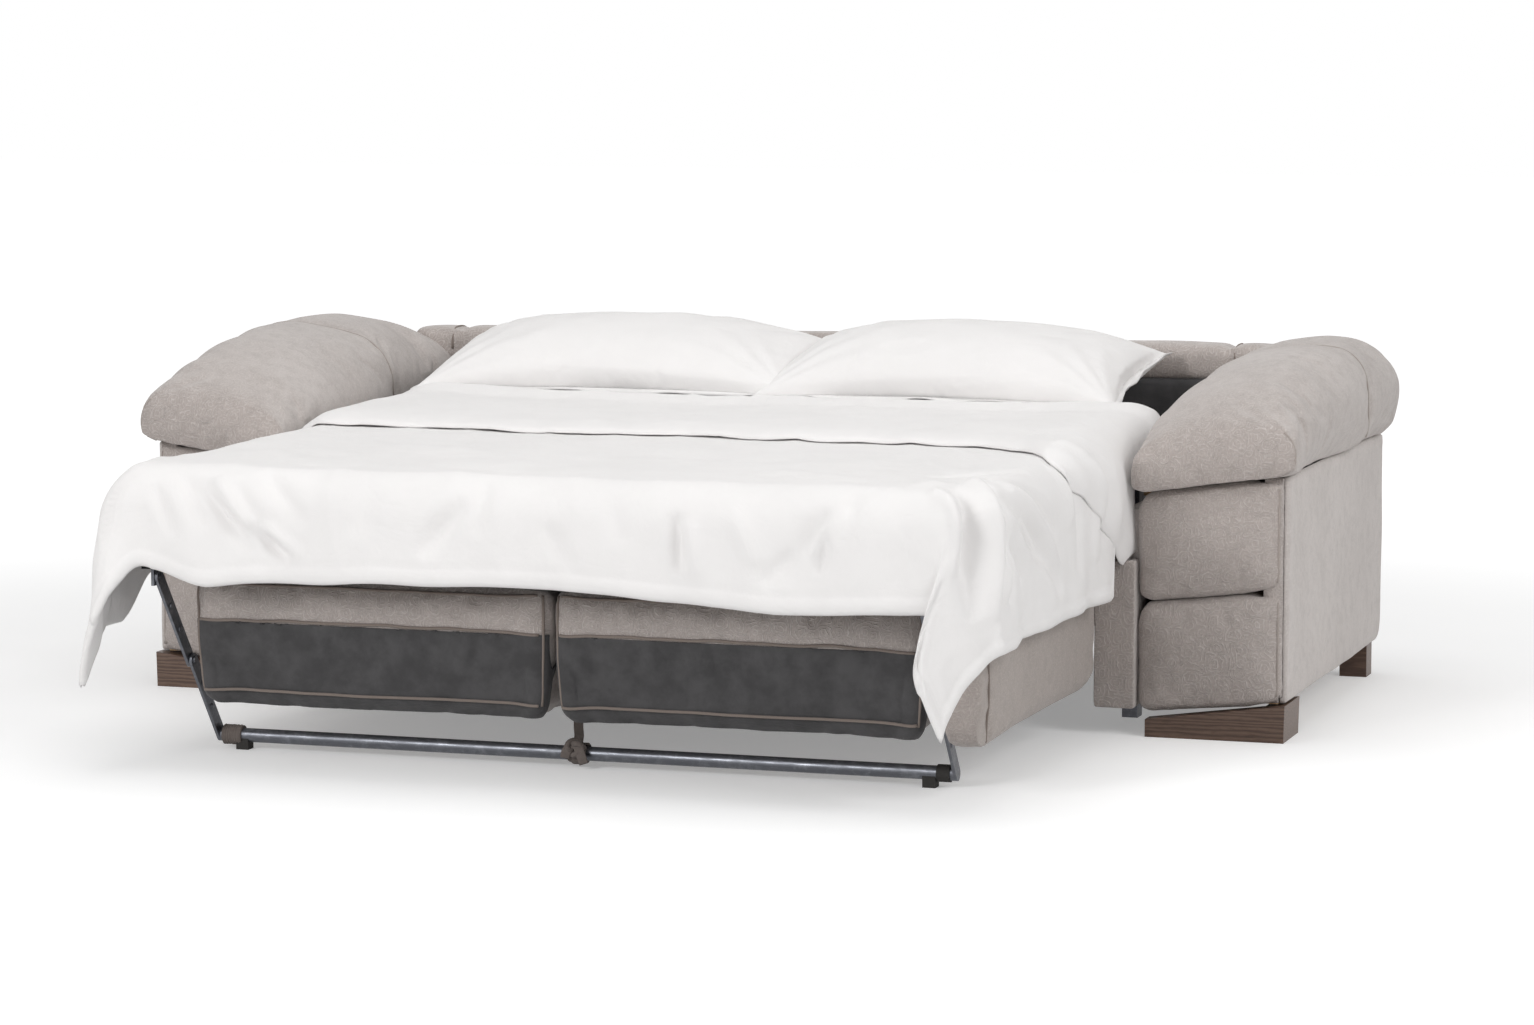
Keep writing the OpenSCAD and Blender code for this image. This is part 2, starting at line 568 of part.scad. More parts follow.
module duvet_turned_back() color(linen)
  thick_sheet([for (b = cuff_rows) [for (k = [0:12]) cuff_point((k - 6) / 6, b, duvet_t * 0.8)]],
              [for (b = cuff_rows) [for (k = [0:12]) cuff_point((k - 6) / 6, b, 0)]]);

duvet_front = min([for (b = duvet_rows) for (s = duvet_cols) draped(col_at(s, b), b, 0)[1]]);
shift = [0, -(arm_d + duvet_front) / 2, 0];

translate(shift) mirror([1, 0, 0]) arm_block_lower();  // arm_block_lower_left
translate(shift) arm_block_lower();  // arm_block_lower_right
translate(shift) mirror([1, 0, 0]) arm_block_middle();  // arm_block_middle_left
translate(shift) arm_block_middle();  // arm_block_middle_right
translate(shift) mirror([1, 0, 0]) arm_pillow();  // arm_pillow_left
translate(shift) arm_pillow();  // arm_pillow_right
translate(shift) mirror([1, 0, 0]) arm_board();  // arm_board_left
translate(shift) arm_board();  // arm_board_right
translate(shift) mirror([1, 0, 0]) arm_side_cover();  // arm_side_cover_left
translate(shift) arm_side_cover();  // arm_side_cover_right
translate(shift) mirror([1, 0, 0]) front_foot();  // front_foot_left
translate(shift) front_foot();  // front_foot_right
translate(shift) back_feet();
translate(shift) mirror([1, 0, 0]) gap_panel();  // gap_panel_left
translate(shift) gap_panel();  // gap_panel_right
translate(shift) mirror([1, 0, 0]) base_rail();  // base_rail_left
translate(shift) base_rail();  // base_rail_right
translate(shift) back_frame();
translate(shift) back_lining();
translate(shift) back_roll();
translate(shift) back_rear_cover();
translate(shift) mirror([1, 0, 0]) lift_guide();  // lift_guide_left
translate(shift) lift_guide();  // lift_guide_right
translate(shift) head_frame();
translate(shift) head_slats();
translate(shift) head_gliders();
translate(shift) head_fold_plates();
translate(shift) fold_pins();
translate(shift) mattress_head();
translate(shift) foot_frame();
translate(shift) foot_slats();
translate(shift) foot_fold_plates();
translate(shift) mattress_foot();
translate(shift) seat_board();
translate(shift) mirror([1, 0, 0]) seat_block();  // seat_block_left
translate(shift) seat_block();  // seat_block_right
translate(shift) mirror([1, 0, 0]) seat_flank_left();
translate(shift) seat_flank_right();
translate(shift) mirror([1, 0, 0]) seat_end_lining();  // seat_end_lining_left
translate(shift) seat_end_lining();  // seat_end_lining_right
translate(shift) leg_brackets();
translate(shift) leg_pivot_pins();
translate(shift) leg_upper_plates();
translate(shift) leg_knee_pins();
translate(shift) leg_bars();
translate(shift) leg_tube();
translate(shift) leg_end_collars();
translate(shift) leg_strap_loop();
translate(shift) leg_glides();
translate(shift) pillow_left();
translate(shift) pillow_right();
translate(shift) duvet();
translate(shift) duvet_turned_back();
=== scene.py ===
import json
import math
from math import atan2, copysign, cos, exp, hypot, pi, radians, sin, sqrt

import bmesh
import bpy
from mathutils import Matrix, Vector, noise
from mathutils.bvhtree import BVHTree
from mathutils.kdtree import KDTree


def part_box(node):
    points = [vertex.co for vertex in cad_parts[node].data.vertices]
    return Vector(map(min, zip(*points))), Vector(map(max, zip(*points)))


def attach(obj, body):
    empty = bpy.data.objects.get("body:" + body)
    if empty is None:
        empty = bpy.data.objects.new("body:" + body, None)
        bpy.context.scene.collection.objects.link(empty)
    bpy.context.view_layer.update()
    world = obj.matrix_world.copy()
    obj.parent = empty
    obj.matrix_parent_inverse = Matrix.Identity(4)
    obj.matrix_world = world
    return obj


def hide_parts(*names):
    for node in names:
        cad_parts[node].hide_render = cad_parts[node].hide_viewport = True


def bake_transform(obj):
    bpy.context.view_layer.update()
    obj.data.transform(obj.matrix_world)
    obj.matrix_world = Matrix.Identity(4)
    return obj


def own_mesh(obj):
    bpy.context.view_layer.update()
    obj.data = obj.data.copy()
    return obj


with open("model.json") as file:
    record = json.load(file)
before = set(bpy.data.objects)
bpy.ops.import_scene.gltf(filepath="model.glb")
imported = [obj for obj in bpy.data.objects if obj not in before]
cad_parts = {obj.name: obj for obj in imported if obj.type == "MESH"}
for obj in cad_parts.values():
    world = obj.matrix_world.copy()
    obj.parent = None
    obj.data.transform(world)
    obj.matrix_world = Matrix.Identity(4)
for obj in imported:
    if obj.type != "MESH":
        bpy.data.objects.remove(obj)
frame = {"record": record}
scene = bpy.context.scene
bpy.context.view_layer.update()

# Values of part.scad, in millimetres before its shift
SHIFT_Y = 4.12739
ARM_IN = 940
ARM_OUT = 1250
ARM_D = 1060
BOARD_X = 1205.7
SEAM_LOW = (272, 308)
SEAM_TOP = (497, 540)
ARM_LOW = (46, 76)
SEAM_GAP = 0.6
PILLOW_TOP = 770
PILLOW_OVER = 55
PILLOW_TIP = 16


def at(x, y, z):
    """A point of part.scad in metres, in the shared frame."""
    return Vector((x, y + SHIFT_Y, z)) / 1000


def y_at(y):
    return at(0, y, 0).y


def mix(a, b, t):
    return a + (b - a) * t


def clamp(x, low, high):
    return min(max(x, low), high)


def near(value, place, reach):
    return 1.0 if abs(value - place) < reach else 0.0


def line(a, b, count):
    """Points at even steps from a to b, in metres."""
    return [at(*(mix(p, q, k / count) for p, q in zip(a, b))) for k in range(count + 1)]


def step_up(x, a, b):
    t = min(1, max(0, (x - a) / (b - a)))
    return t * t * (3 - 2 * t)


def spow(a, e):
    return copysign(abs(a) ** e, a)


def along(stations, y, column):
    """Smooth value of one column of a list of stations at y."""
    if y <= stations[0][0]:
        return stations[0][column]
    for a, b in zip(stations, stations[1:]):
        if y <= b[0]:
            t = (y - a[0]) / (b[0] - a[0])
            return mix(a[column], b[column], t * t * (3 - 2 * t) * 0.5 + t * 0.5)
    return stations[-1][column]


# Node materials

class Shader:
    """A material or a world, and short calls that add its nodes."""

    def __init__(self, name, kind="Material"):
        self.owner = bpy.data.worlds.new(name) if kind == "World" else bpy.data.materials.new(name)
        self.owner.use_nodes = True
        self.tree = self.owner.node_tree
        self.tree.nodes.clear()
        self.out = self.tree.nodes.new("ShaderNodeOutput" + kind)
        coords = self.tree.nodes.new("ShaderNodeTexCoord").outputs
        self.place, self.facing = coords["Object"], coords["Normal"]

    def put(self, socket, value):
        if isinstance(value, bpy.types.NodeSocket):
            self.tree.links.new(value, socket)
        elif value is not None:
            socket.default_value = value

    def node(self, kind, settings=None, **values):
        n = self.tree.nodes.new("ShaderNode" + kind)
        for key, value in (settings or {}).items():
            setattr(n, key, value)
        for key, value in values.items():
            self.put(n.inputs[key.replace("_", " ")], value)
        return n

    def math(self, kind, a, b=0.5, c=0.5):
        n = self.tree.nodes.new("ShaderNodeMath")
        n.operation = kind
        for socket, value in zip(n.inputs, (a, b, c)):
            self.put(socket, value)
        return n.outputs[0]

    def blend(self, factor, a, b):
        n = self.tree.nodes.new("ShaderNodeMix")
        n.data_type = "RGBA"
        self.put(n.inputs[0], factor)
        self.put(n.inputs[6], a)
        self.put(n.inputs[7], b)
        return n.outputs[2]

    def range(self, value, low, high, to_low=0.0, to_high=1.0):
        n = self.tree.nodes.new("ShaderNodeMapRange")
        n.interpolation_type = "SMOOTHSTEP"
        for socket, v in zip(n.inputs, (value, low, high, to_low, to_high)):
            self.put(socket, v)
        return n.outputs[0]

    def noise(self, vector, scale, detail=3.0, rough=0.5, distortion=0.0):
        return self.node("TexNoise", None, Vector=vector, Scale=scale, Detail=detail,
                         Roughness=rough, Distortion=distortion).outputs["Fac"]

    def bump(self, height, distance, strength=1.0, normal=None):
        return self.node("Bump", None, Height=height, Distance=distance, Strength=strength,
                         Normal=normal).outputs[0]

    def flat_coords(self):
        """Coordinates in the plane that the surface faces most."""
        place = self.node("SeparateXYZ", None, Vector=self.place).outputs
        facing = self.node("SeparateXYZ", None, Vector=self.facing).outputs
        x, y, z = (self.math("ABSOLUTE", s) for s in facing)
        is_z = self.math("GREATER_THAN", z, self.math("MAXIMUM", x, y))
        is_x = self.math("GREATER_THAN", x, y)
        side = self.node("CombineXYZ", None, X=place[1], Y=place[2]).outputs[0]
        front = self.node("CombineXYZ", None, X=place[0], Y=place[2]).outputs[0]
        top = self.node("CombineXYZ", None, X=place[0], Y=place[1]).outputs[0]
        return self.blend(is_z, self.blend(is_x, front, side), top)

    def weave(self, vector, threads):
        """Height of a plain weave with the given number of threads per metre."""
        scale = threads * pi / 10
        across = self.node("TexWave", {"bands_direction": "X"}, Vector=vector, Scale=scale,
                           Distortion=0.8, Detail=1.0).outputs["Fac"]
        down = self.node("TexWave", {"bands_direction": "Y"}, Vector=vector, Scale=scale,
                         Distortion=0.8, Detail=1.0).outputs["Fac"]
        return self.math("MULTIPLY", across, down)

    def finish(self, color, roughness, normal, **constants):
        bsdf = self.node("BsdfPrincipled", None, Roughness=roughness, Normal=normal)
        self.put(bsdf.inputs["Base Color"], color)
        for key, value in constants.items():
            bsdf.inputs[key.replace("_", " ")].default_value = value
        self.put(self.out.inputs[0], bsdf.outputs[0])
        return self.owner

    def by_ray(self, cast, seen):
        """One shader for the light that falls on things, another for what the camera and mirrors see."""
        path = self.node("LightPath").outputs
        mirrored = self.math("MAXIMUM", path["Is Glossy Ray"], path["Is Transmission Ray"])
        pick = self.node("MixShader")
        direct = self.math("MAXIMUM", path["Is Camera Ray"], mirrored)
        for socket, value in zip(pick.inputs, (direct, cast, seen)):
            self.put(socket, value)
        self.put(self.out.inputs[0], pick.outputs[0])


def rgb(r, g, b):
    """A colour written as screen values from 0 to 255."""
    return tuple(((c / 255 + 0.055) / 1.055) ** 2.4 if c > 10 else c / 255 / 12.92
                 for c in (r, g, b)) + (1.0,)


def shade(color, k):
    """A colour made darker, or lighter where k is above 1."""
    return tuple(min(1.0, c * k) for c in color[:3]) + (1.0,)


def upholstery(name, base, pale, light, rings=1.0):
    """Woven cloth with a fine embossed pattern of nested rings."""
    s = Shader(name)
    place = s.place
    plane = s.flat_coords()
    drift = s.node("TexNoise", {"noise_dimensions": "2D"}, Vector=plane, Scale=34.0,
                   Detail=2.0).outputs["Color"]
    bent = s.node("VectorMath", {"operation": "MULTIPLY_ADD"})
    s.put(bent.inputs[0], drift)
    bent.inputs[1].default_value = (0.017, 0.017, 0.0)
    s.put(bent.inputs[2], plane)
    cells = s.node("TexVoronoi", {"voronoi_dimensions": "2D", "distance": "MINKOWSKI"},
                   Vector=bent.outputs[0], Scale=1 / 0.031, Exponent=3.0, Randomness=0.9)
    turn = s.node("SeparateXYZ", None, Vector=cells.outputs["Color"]).outputs[0]
    phase = s.math("MULTIPLY_ADD", cells.outputs["Distance"], 30.0, s.math("MULTIPLY", turn, 4.0))
    ring = s.range(s.math("SINE", phase), 0.4, 0.95)
    weave = s.weave(plane, 520)
    blotch = s.noise(place, 3.1, 5.0, 0.6)
    wear = s.noise(place, 11.0, 4.0, 0.6)
    patch = s.noise(place, 38.0, 4.0, 0.65)
    slub = s.noise(place, 210.0, 2.0, 0.6)
    # Faces that do not point to the front or back get the pale colour and a fainter ring pattern: painted
    # light on tops and sides.
    facing = s.node("SeparateXYZ", None, Vector=s.facing).outputs[1]
    ahead = s.range(s.math("ABSOLUTE", facing), 0.12, 0.75)
    show = s.math("MULTIPLY", s.range(wear, 0.25, 0.6, 0.5, 1.0), s.range(ahead, 0.0, 1.0, 0.3, 1.0))
    painted_light_ground = s.blend(ahead, pale, base)
    color = s.blend(s.math("MULTIPLY", s.math("MULTIPLY", ring, show), 0.62 * rings), painted_light_ground, light)
    color = s.blend(s.range(weave, 0.1, 0.8, 0.2, 0.0), color, shade(base, 0.55))
    color = s.blend(s.range(blotch, 0.35, 0.7, 0.0, 0.3), color, shade(base, 0.76))
    color = s.blend(s.range(patch, 0.4, 0.7, 0.0, 0.3), color, shade(base, 0.7))
    color = s.blend(s.range(slub, 0.45, 0.75, 0.0, 0.3), color, light)
    low = s.bump(s.math("MULTIPLY", ring, show), 0.0009 * rings)
    fine = s.bump(weave, 0.0003, 0.8, low)
    rough = s.math("MULTIPLY_ADD", ring, -0.14, 0.92)
    return s.finish(color, rough, fine, Sheen_Weight=0.22, Sheen_Roughness=0.45,
                    Specular_IOR_Level=0.28)


def plain_cloth(name, base, light, threads=700, crumple=0.0, rough=0.9, sheen=0.12, mottle=0.0):
    s = Shader(name)
    plane = s.flat_coords()
    weave = s.weave(plane, threads)
    spots = s.noise(s.place, 5.0, 5.0, 0.6)
    grain = s.noise(s.place, 260.0, 2.0, 0.5)
    color = s.blend(weave, base, light)
    color = s.blend(s.range(spots, 0.35, 0.7, 0.0, 0.14), color, shade(base, 0.8))
    if mottle:
        clouds = s.noise(s.place, 17.0, 5.0, 0.62)
        color = s.blend(s.range(clouds, 0.4, 0.68, 0.0, mottle), color, shade(light, 1.25))
        color = s.blend(s.range(clouds, 0.5, 0.3, 0.0, mottle), color, shade(base, 0.7))
    normal = s.bump(weave, 0.0002, 0.7, s.bump(grain, 0.0003, 0.5))
    if crumple:
        folds = s.noise(s.place, 7.0, 4.0, 0.55, 0.8)
        creases = s.math("ABSOLUTE", s.math("SUBTRACT", folds, 0.5))
        normal = s.bump(creases, crumple, 0.8, normal)
    return s.finish(color, s.range(spots, 0.2, 0.8, rough - 0.05, rough), normal,
                    Sheen_Weight=sheen, Sheen_Roughness=0.5, Specular_IOR_Level=0.25)


def wood(name, dark, light, grain_axis, scale, rough, coat=0.0):
    s = Shader(name)
    stretch = {"X": (0.12, 1.0, 1.0), "Y": (1.0, 0.12, 1.0), "Z": (1.0, 1.0, 0.12)}[grain_axis]
    place = s.node("Mapping", None, Vector=s.place, Scale=stretch).outputs[0]
    bands = s.node("TexWave", {"wave_type": "RINGS", "rings_direction": grain_axis}, Vector=place,
                   Scale=scale, Distortion=7.0, Detail=4.0, Detail_Scale=1.6).outputs["Fac"]
    pores = s.noise(place, 420.0, 3.0, 0.6)
    color = s.blend(bands, dark, light)
    color = s.blend(s.range(pores, 0.52, 0.72, 0.0, 0.45), color, shade(dark, 0.5))
    normal = s.bump(pores, 0.0003, 0.5, s.bump(bands, 0.0003, 0.5))
    return s.finish(color, s.range(pores, 0.3, 0.7, rough - 0.08, rough + 0.08), normal,
                    Coat_Weight=coat, Coat_Roughness=0.3, Specular_IOR_Level=0.4)


def metal(name, color, worn, rough):
    s = Shader(name)
    place = s.place
    spots = s.noise(place, 60.0, 5.0, 0.65)
    streaks = s.noise(s.node("Mapping", None, Vector=place, Scale=(1.0, 9.0, 9.0)).outputs[0], 30.0, 4.0)
    tone = s.blend(s.range(spots, 0.45, 0.75, 0.0, 0.5), color, worn)
    normal = s.bump(spots, 0.0002, 0.5, s.bump(streaks, 0.0001, 0.5))
    return s.finish(tone, s.range(streaks, 0.3, 0.7, rough - 0.08, rough + 0.1), normal, Metallic=0.75,
                    Specular_IOR_Level=0.5)


def smooth_part(name, color, rough, grain):
    s = Shader(name)
    spots = s.noise(s.place, grain, 3.0, 0.5)
    tone = s.blend(s.range(spots, 0.4, 0.7, 0.0, 0.3), color, shade(color, 1.4))
    return s.finish(tone, s.range(spots, 0.2, 0.8, rough - 0.08, rough + 0.08), s.bump(spots, 0.0004, 0.6),
                    Specular_IOR_Level=0.4)


# The second colour of each upholstery is the pale ground of its tops and sides: painted light.
M_FABRIC = upholstery("greige_upholstery", rgb(182, 172, 167), rgb(204, 197, 193), rgb(222, 215, 211))
# Lighter copy of the upholstery with a fainter pattern, for the arms' outer sides and the base rails: painted
# light on the sides.
M_PLAIN_PAINTED_LIGHT = upholstery("greige_plain_painted_light", rgb(203, 195, 191), rgb(217, 210, 206), rgb(232, 227, 223), 0.35)
# Darker copy of the upholstery for the seat flanks, which lie under the duvet: painted shade.
M_SEAT_SIDE_PAINTED_SHADE = upholstery("greige_seat_side_painted_shade", rgb(172, 162, 157), rgb(178, 169, 163), rgb(208, 200, 195))
M_PIPING = plain_cloth("brown_piping", rgb(124, 113, 106), rgb(150, 139, 132), 900)
M_CORD = plain_cloth("greige_cord", rgb(158, 148, 142), rgb(184, 175, 169), 900)
M_LINING = plain_cloth("charcoal_lining", rgb(64, 63, 64), rgb(88, 87, 88), 480, 0.002, mottle=0.3)
M_BOARD = plain_cloth("black_board_cloth", rgb(30, 30, 32), rgb(48, 48, 50), 600)
M_BEDDING = plain_cloth("white_cotton", rgb(239, 237, 236), rgb(246, 244, 243), 900, 0.006, 0.85, 0.06)
M_SHEET = plain_cloth("white_sheet", rgb(238, 238, 239), rgb(245, 245, 245), 1100, 0.0015, 0.8, 0.1)
M_STRAP = plain_cloth("brown_grey_strap", rgb(104, 96, 92), rgb(140, 130, 124), 420)
M_WALNUT = wood("walnut", rgb(74, 54, 44), rgb(106, 84, 70), "X", 42, 0.45, 0.2)
M_BEECH = wood("beech", rgb(186, 152, 112), rgb(214, 184, 146), "X", 30, 0.55)
M_STEEL = metal("grey_steel", rgb(104, 106, 112), rgb(146, 148, 154), 0.36)
M_NYLON = smooth_part("black_nylon", rgb(34, 34, 35), 0.45, 300)
M_RUBBER = smooth_part("dark_rubber", rgb(44, 42, 40), 0.75, 500)

SLOT_MATERIAL = {
    "upholstery": M_FABRIC, "lining": M_LINING, "black_board": M_BOARD, "plain_wood": M_BEECH,
    "dark_wood": M_WALNUT, "bedding": M_BEDDING, "steel": M_STEEL, "nylon": M_NYLON, "rubber": M_RUBBER,
}
NODE_SLOT = {part["node"]: part["material_slot"] for part in frame["record"]["subparts"]}
for node_name, slot_name in NODE_SLOT.items():
    thing = bpy.data.objects.get(node_name)
    for holder in thing.material_slots:
        holder.material = SLOT_MATERIAL[slot_name]


# Mesh helpers

def add(name, data):
    obj = bpy.data.objects.new(name, data)
    scene.collection.objects.link(obj)
    return obj


def make_object(name, verts, faces, material, smooth=True):
    mesh = bpy.data.meshes.new(name)
    mesh.from_pydata([tuple(v) for v in verts], [], faces)
    mesh.update()
    mesh.materials.append(material)
    mesh.polygons.foreach_set("use_smooth", [smooth] * len(mesh.polygons))
    return add(name, mesh)


def face_out(obj):
    bm = bmesh.new()
    bm.from_mesh(obj.data)
    bmesh.ops.recalc_face_normals(bm, faces=bm.faces)
    bm.to_mesh(obj.data)
    bm.free()


def hold(obj, limit):
    """Put every point back inside its limit."""
    for v in obj.data.vertices:
        v.co = limit(v.co)


def apply(obj, kind, **settings):
    modifier = obj.modifiers.new(kind, kind)
    for key, value in settings.items():
        setattr(modifier, key, value)
    bpy.context.view_layer.objects.active = obj
    bpy.ops.object.modifier_apply(modifier=modifier.name)


def loft(name, rings, material):
    """A closed skin over rings of equal point count."""
    m = len(rings[0])
    verts = [p for ring in rings for p in ring]
    faces = []
    for j in range(len(rings) - 1):
        for i in range(m):
            k = (i + 1) % m
            faces.append((j * m + i, j * m + k, (j + 1) * m + k, (j + 1) * m + i))
    for base, end in ((0, True), ((len(rings) - 1) * m, False)):
        middle = sum((Vector(verts[base + i]) for i in range(m)), Vector()) / m
        verts.append(middle)
        c = len(verts) - 1
        for i in range(m):
            k = (i + 1) % m
            faces.append((base + k, base + i, c) if end else (base + i, base + k, c))
    obj = make_object(name, verts, faces, material)
    face_out(obj)
    return obj


def heading(points, i):
    return (points[min(i + 1, len(points) - 1)] - points[max(i - 1, 0)]).normalized()


def sweep_faces(start, rings, sides):
    """Faces of a skin over rings of points, with flat ends."""
    faces = []
    for i in range(rings - 1):
        for k in range(sides):
            a, n = start + i * sides, (k + 1) % sides
            faces.append((a + k, a + n, a + sides + n, a + sides + k))
    faces.append(tuple(start + k for k in reversed(range(sides))))
    faces.append(tuple(start + (rings - 1) * sides + k for k in range(sides)))
    return faces


def tube(name, paths, radius, material, sides=8):
    """Round cord along each path of points, as one mesh."""
    verts, faces = [], []
    for path in paths:
        points = [Vector(p) for p in path]
        ref = None
        faces += sweep_faces(len(verts), len(points), sides)
        for i, p in enumerate(points):
            forward = heading(points, i)
            if ref is None:
                ref = forward.orthogonal().normalized()
            ref = (ref - forward * ref.dot(forward)).normalized()
            other = forward.cross(ref)
            for k in range(sides):
                a = 2 * pi * k / sides
                verts.append(p + (ref * cos(a) + other * sin(a)) * radius)
    return make_object(name, verts, faces, material)


def remesh(obj, voxel):
    obj.data.remesh_voxel_size = voxel
    bpy.context.view_layer.objects.active = obj
    for other in bpy.context.selected_objects:
        other.select_set(False)
    obj.select_set(True)
    bpy.ops.object.voxel_remesh()
    obj.data.polygons.foreach_set("use_smooth", [True] * len(obj.data.polygons))


CLOTH = {"quality": 5, "mass": 0.3, "tension_stiffness": 12, "compression_stiffness": 12,
         "shear_stiffness": 4, "bending_stiffness": 0.4, "air_damping": 2, "use_pressure": True}


def inflate(obj, voxel, cap, pressure=4.0, pins=None, slack=0.02, limit=None, frames=20):
    """Blow a closed skin up like a filled cover, and keep every point within cap of its start."""
    materials = list(obj.data.materials)
    remesh(obj, voxel)
    obj.data.materials.clear()
    for m in materials:
        obj.data.materials.append(m)
    start = [v.co.copy() for v in obj.data.vertices]
    cloth = obj.modifiers.new("cloth", "CLOTH")
    for key, value in CLOTH.items():
        setattr(cloth.settings, key, value)
    cloth.settings.shrink_min = -slack
    cloth.settings.uniform_pressure_force = pressure
    cloth.settings.effector_weights.gravity = 0
    cloth.collision_settings.use_collision = False
    if pins:
        group = obj.vertex_groups.new(name="pins")
        for v in obj.data.vertices:
            w = pins(v.co)
            if w > 0:
                group.add([v.index], w, "REPLACE")
        cloth.settings.vertex_group_mass = "pins"
    for f in range(1, frames + 1):
        scene.frame_set(f)
    done = obj.evaluated_get(bpy.context.evaluated_depsgraph_get()).to_mesh()
    moved = [v.co.copy() for v in done.vertices]
    obj.evaluated_get(bpy.context.evaluated_depsgraph_get()).to_mesh_clear()
    obj.modifiers.clear()
    obj.vertex_groups.clear()
    scene.frame_set(1)
    for v, a, b in zip(obj.data.vertices, start, moved):
        step = b - a
        if step.length > cap:
            step *= cap / step.length
        v.co = a + step
    if limit:
        hold(obj, limit)
    apply(obj, "SUBSURF", levels=1, render_levels=1)
    if limit:
        hold(obj, limit)
    obj.data.polygons.foreach_set("use_smooth", [True] * len(obj.data.polygons))
    return obj


def tree_of(obj):
    return BVHTree.FromObject(obj, bpy.context.evaluated_depsgraph_get())


def lay_on(points, tree, lift):
    """Points moved onto the nearest surface, and lift above it."""
    laid = []
    for p in points:
        place, normal, _, _ = tree.find_nearest(p)
        laid.append(place + normal * lift)
    return laid


def carry(obj, body, nodes=()):
    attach(obj, body)
    if nodes:
        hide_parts(*nodes)


# Small shapes that covers share: swells, gathers, seams and straps

# Lines of piping and of fine cord, by the body that they ride on
cords = {"sofa": [], "foot_section": []}
fine_cords = {"sofa": []}


def uneven(obj, amount, scale, seed):
    """Slight swells and hollows of a filled cover."""
    normals = [v.normal.copy() for v in obj.data.vertices]
    for v, n in zip(obj.data.vertices, normals):
        v.co += n * noise.noise(v.co * scale + Vector((seed, 0, seed))) * amount


def spaced(points, step):
    """The same line with a point every step metres."""
    points = [Vector(p) for p in points]
    out, left = [points[0]], step
    for a, b in zip(points, points[1:]):
        length = (b - a).length
        while length >= left > 0:
            a = a + (b - a) * (left / length)
            length -= left
            out.append(a.copy())
            left = step
        left -= length
    return out


def pucker(obj, lines, reach, depth, pitch):
    """Short gathers of the cover beside each seam line."""
    dots = [p for line in lines for p in spaced(line, 0.005)]
    tree = KDTree(len(dots))
    for k, p in enumerate(dots):
        tree.insert(p, k)
    tree.balance()
    normals = [v.normal.copy() for v in obj.data.vertices]
    for v, n in zip(obj.data.vertices, normals):
        _, k, d = tree.find(v.co)
        if d < reach:
            fade = (1 - d / reach) ** 2
            fold = noise.noise(Vector((k * 0.005 * pitch, d * 9, k * 0.0007)))
            v.co += n * depth * fade * (fold - 0.45)


def seam(body, points, tree, lift=0.001, group=cords):
    """Piping that lies on a surface."""
    line = lay_on(spaced(points, 0.012), tree, lift)
    for _ in range(3):
        line = [line[0]] + [(a + b * 2 + c) / 4 for a, b, c in zip(line, line[1:], line[2:])] + [line[-1]]
    group[body].append(line)


STRAP_SECTION = [(-1, -0.6), (-0.8, -1), (0.8, -1), (1, -0.6), (1, 0.6), (0.8, 1), (-0.8, 1), (-1, 0.6)]


def strap(name, paths, wide, thick, axis, material):
    """Flat webbing along each path, its width along axis."""
    axis = Vector(axis)
    verts, faces = [], []
    for path in paths:
        points = [Vector(p) for p in path]
        faces += sweep_faces(len(verts), len(points), 8)
        for i, p in enumerate(points):
            forward = heading(points, i)
            across = (axis - forward * axis.dot(forward)).normalized()
            up = across.cross(forward)
            for u, v in STRAP_SECTION:
                verts.append(p + across * (u * wide / 2) + up * (v * thick / 2))
    return make_object(name, verts, faces, material)


def rounded(points, radii, steps=6):
    """Outline in a plane with its corners rounded."""
    out = []
    for i, p in enumerate(points):
        p = Vector(p)
        a, b = Vector(points[i - 1]), Vector(points[(i + 1) % len(points)])
        r = radii[i]
        u, v = (a - p).normalized(), (b - p).normalized()
        for k in range(steps + 1):
            t = k / steps
            start, end = p + u * r, p + v * r
            out.append(mix(mix(start, p, t), mix(p, end, t), t))
    return out


def panel(name, outline, place, levels, material):
    """Upholstered board: its outline at each depth, drawn in by an inset."""
    count = len(outline)
    area = sum(outline[i - 1].x * outline[i].y - outline[i].x * outline[i - 1].y for i in range(count))
    turn = 1 if area > 0 else -1
    rings = []
    for depth, inset in levels:
        ring = []
        for i, p in enumerate(outline):
            tangent = (outline[(i + 1) % count] - outline[i - 1]).normalized()
            q = p + Vector((-tangent.y, tangent.x)) * (turn * inset)
            ring.append(place(q.x, q.y, depth))
        rings.append(ring)
    return loft(name, rings, material)


# Arms: blocks, pillows, side panels and their seams

def slope(pair, x):
    return mix(pair[0], pair[1], (x - ARM_IN) / (ARM_OUT - ARM_IN))


def seam_z(pair, x_m):
    return slope(pair, abs(x_m) * 1000) / 1000


# The blocks' fronts reach out to LIP_X, over the edge of the side panel, and are LIP_Y deep there
LIP_X = 1246
LIP_Y = 31


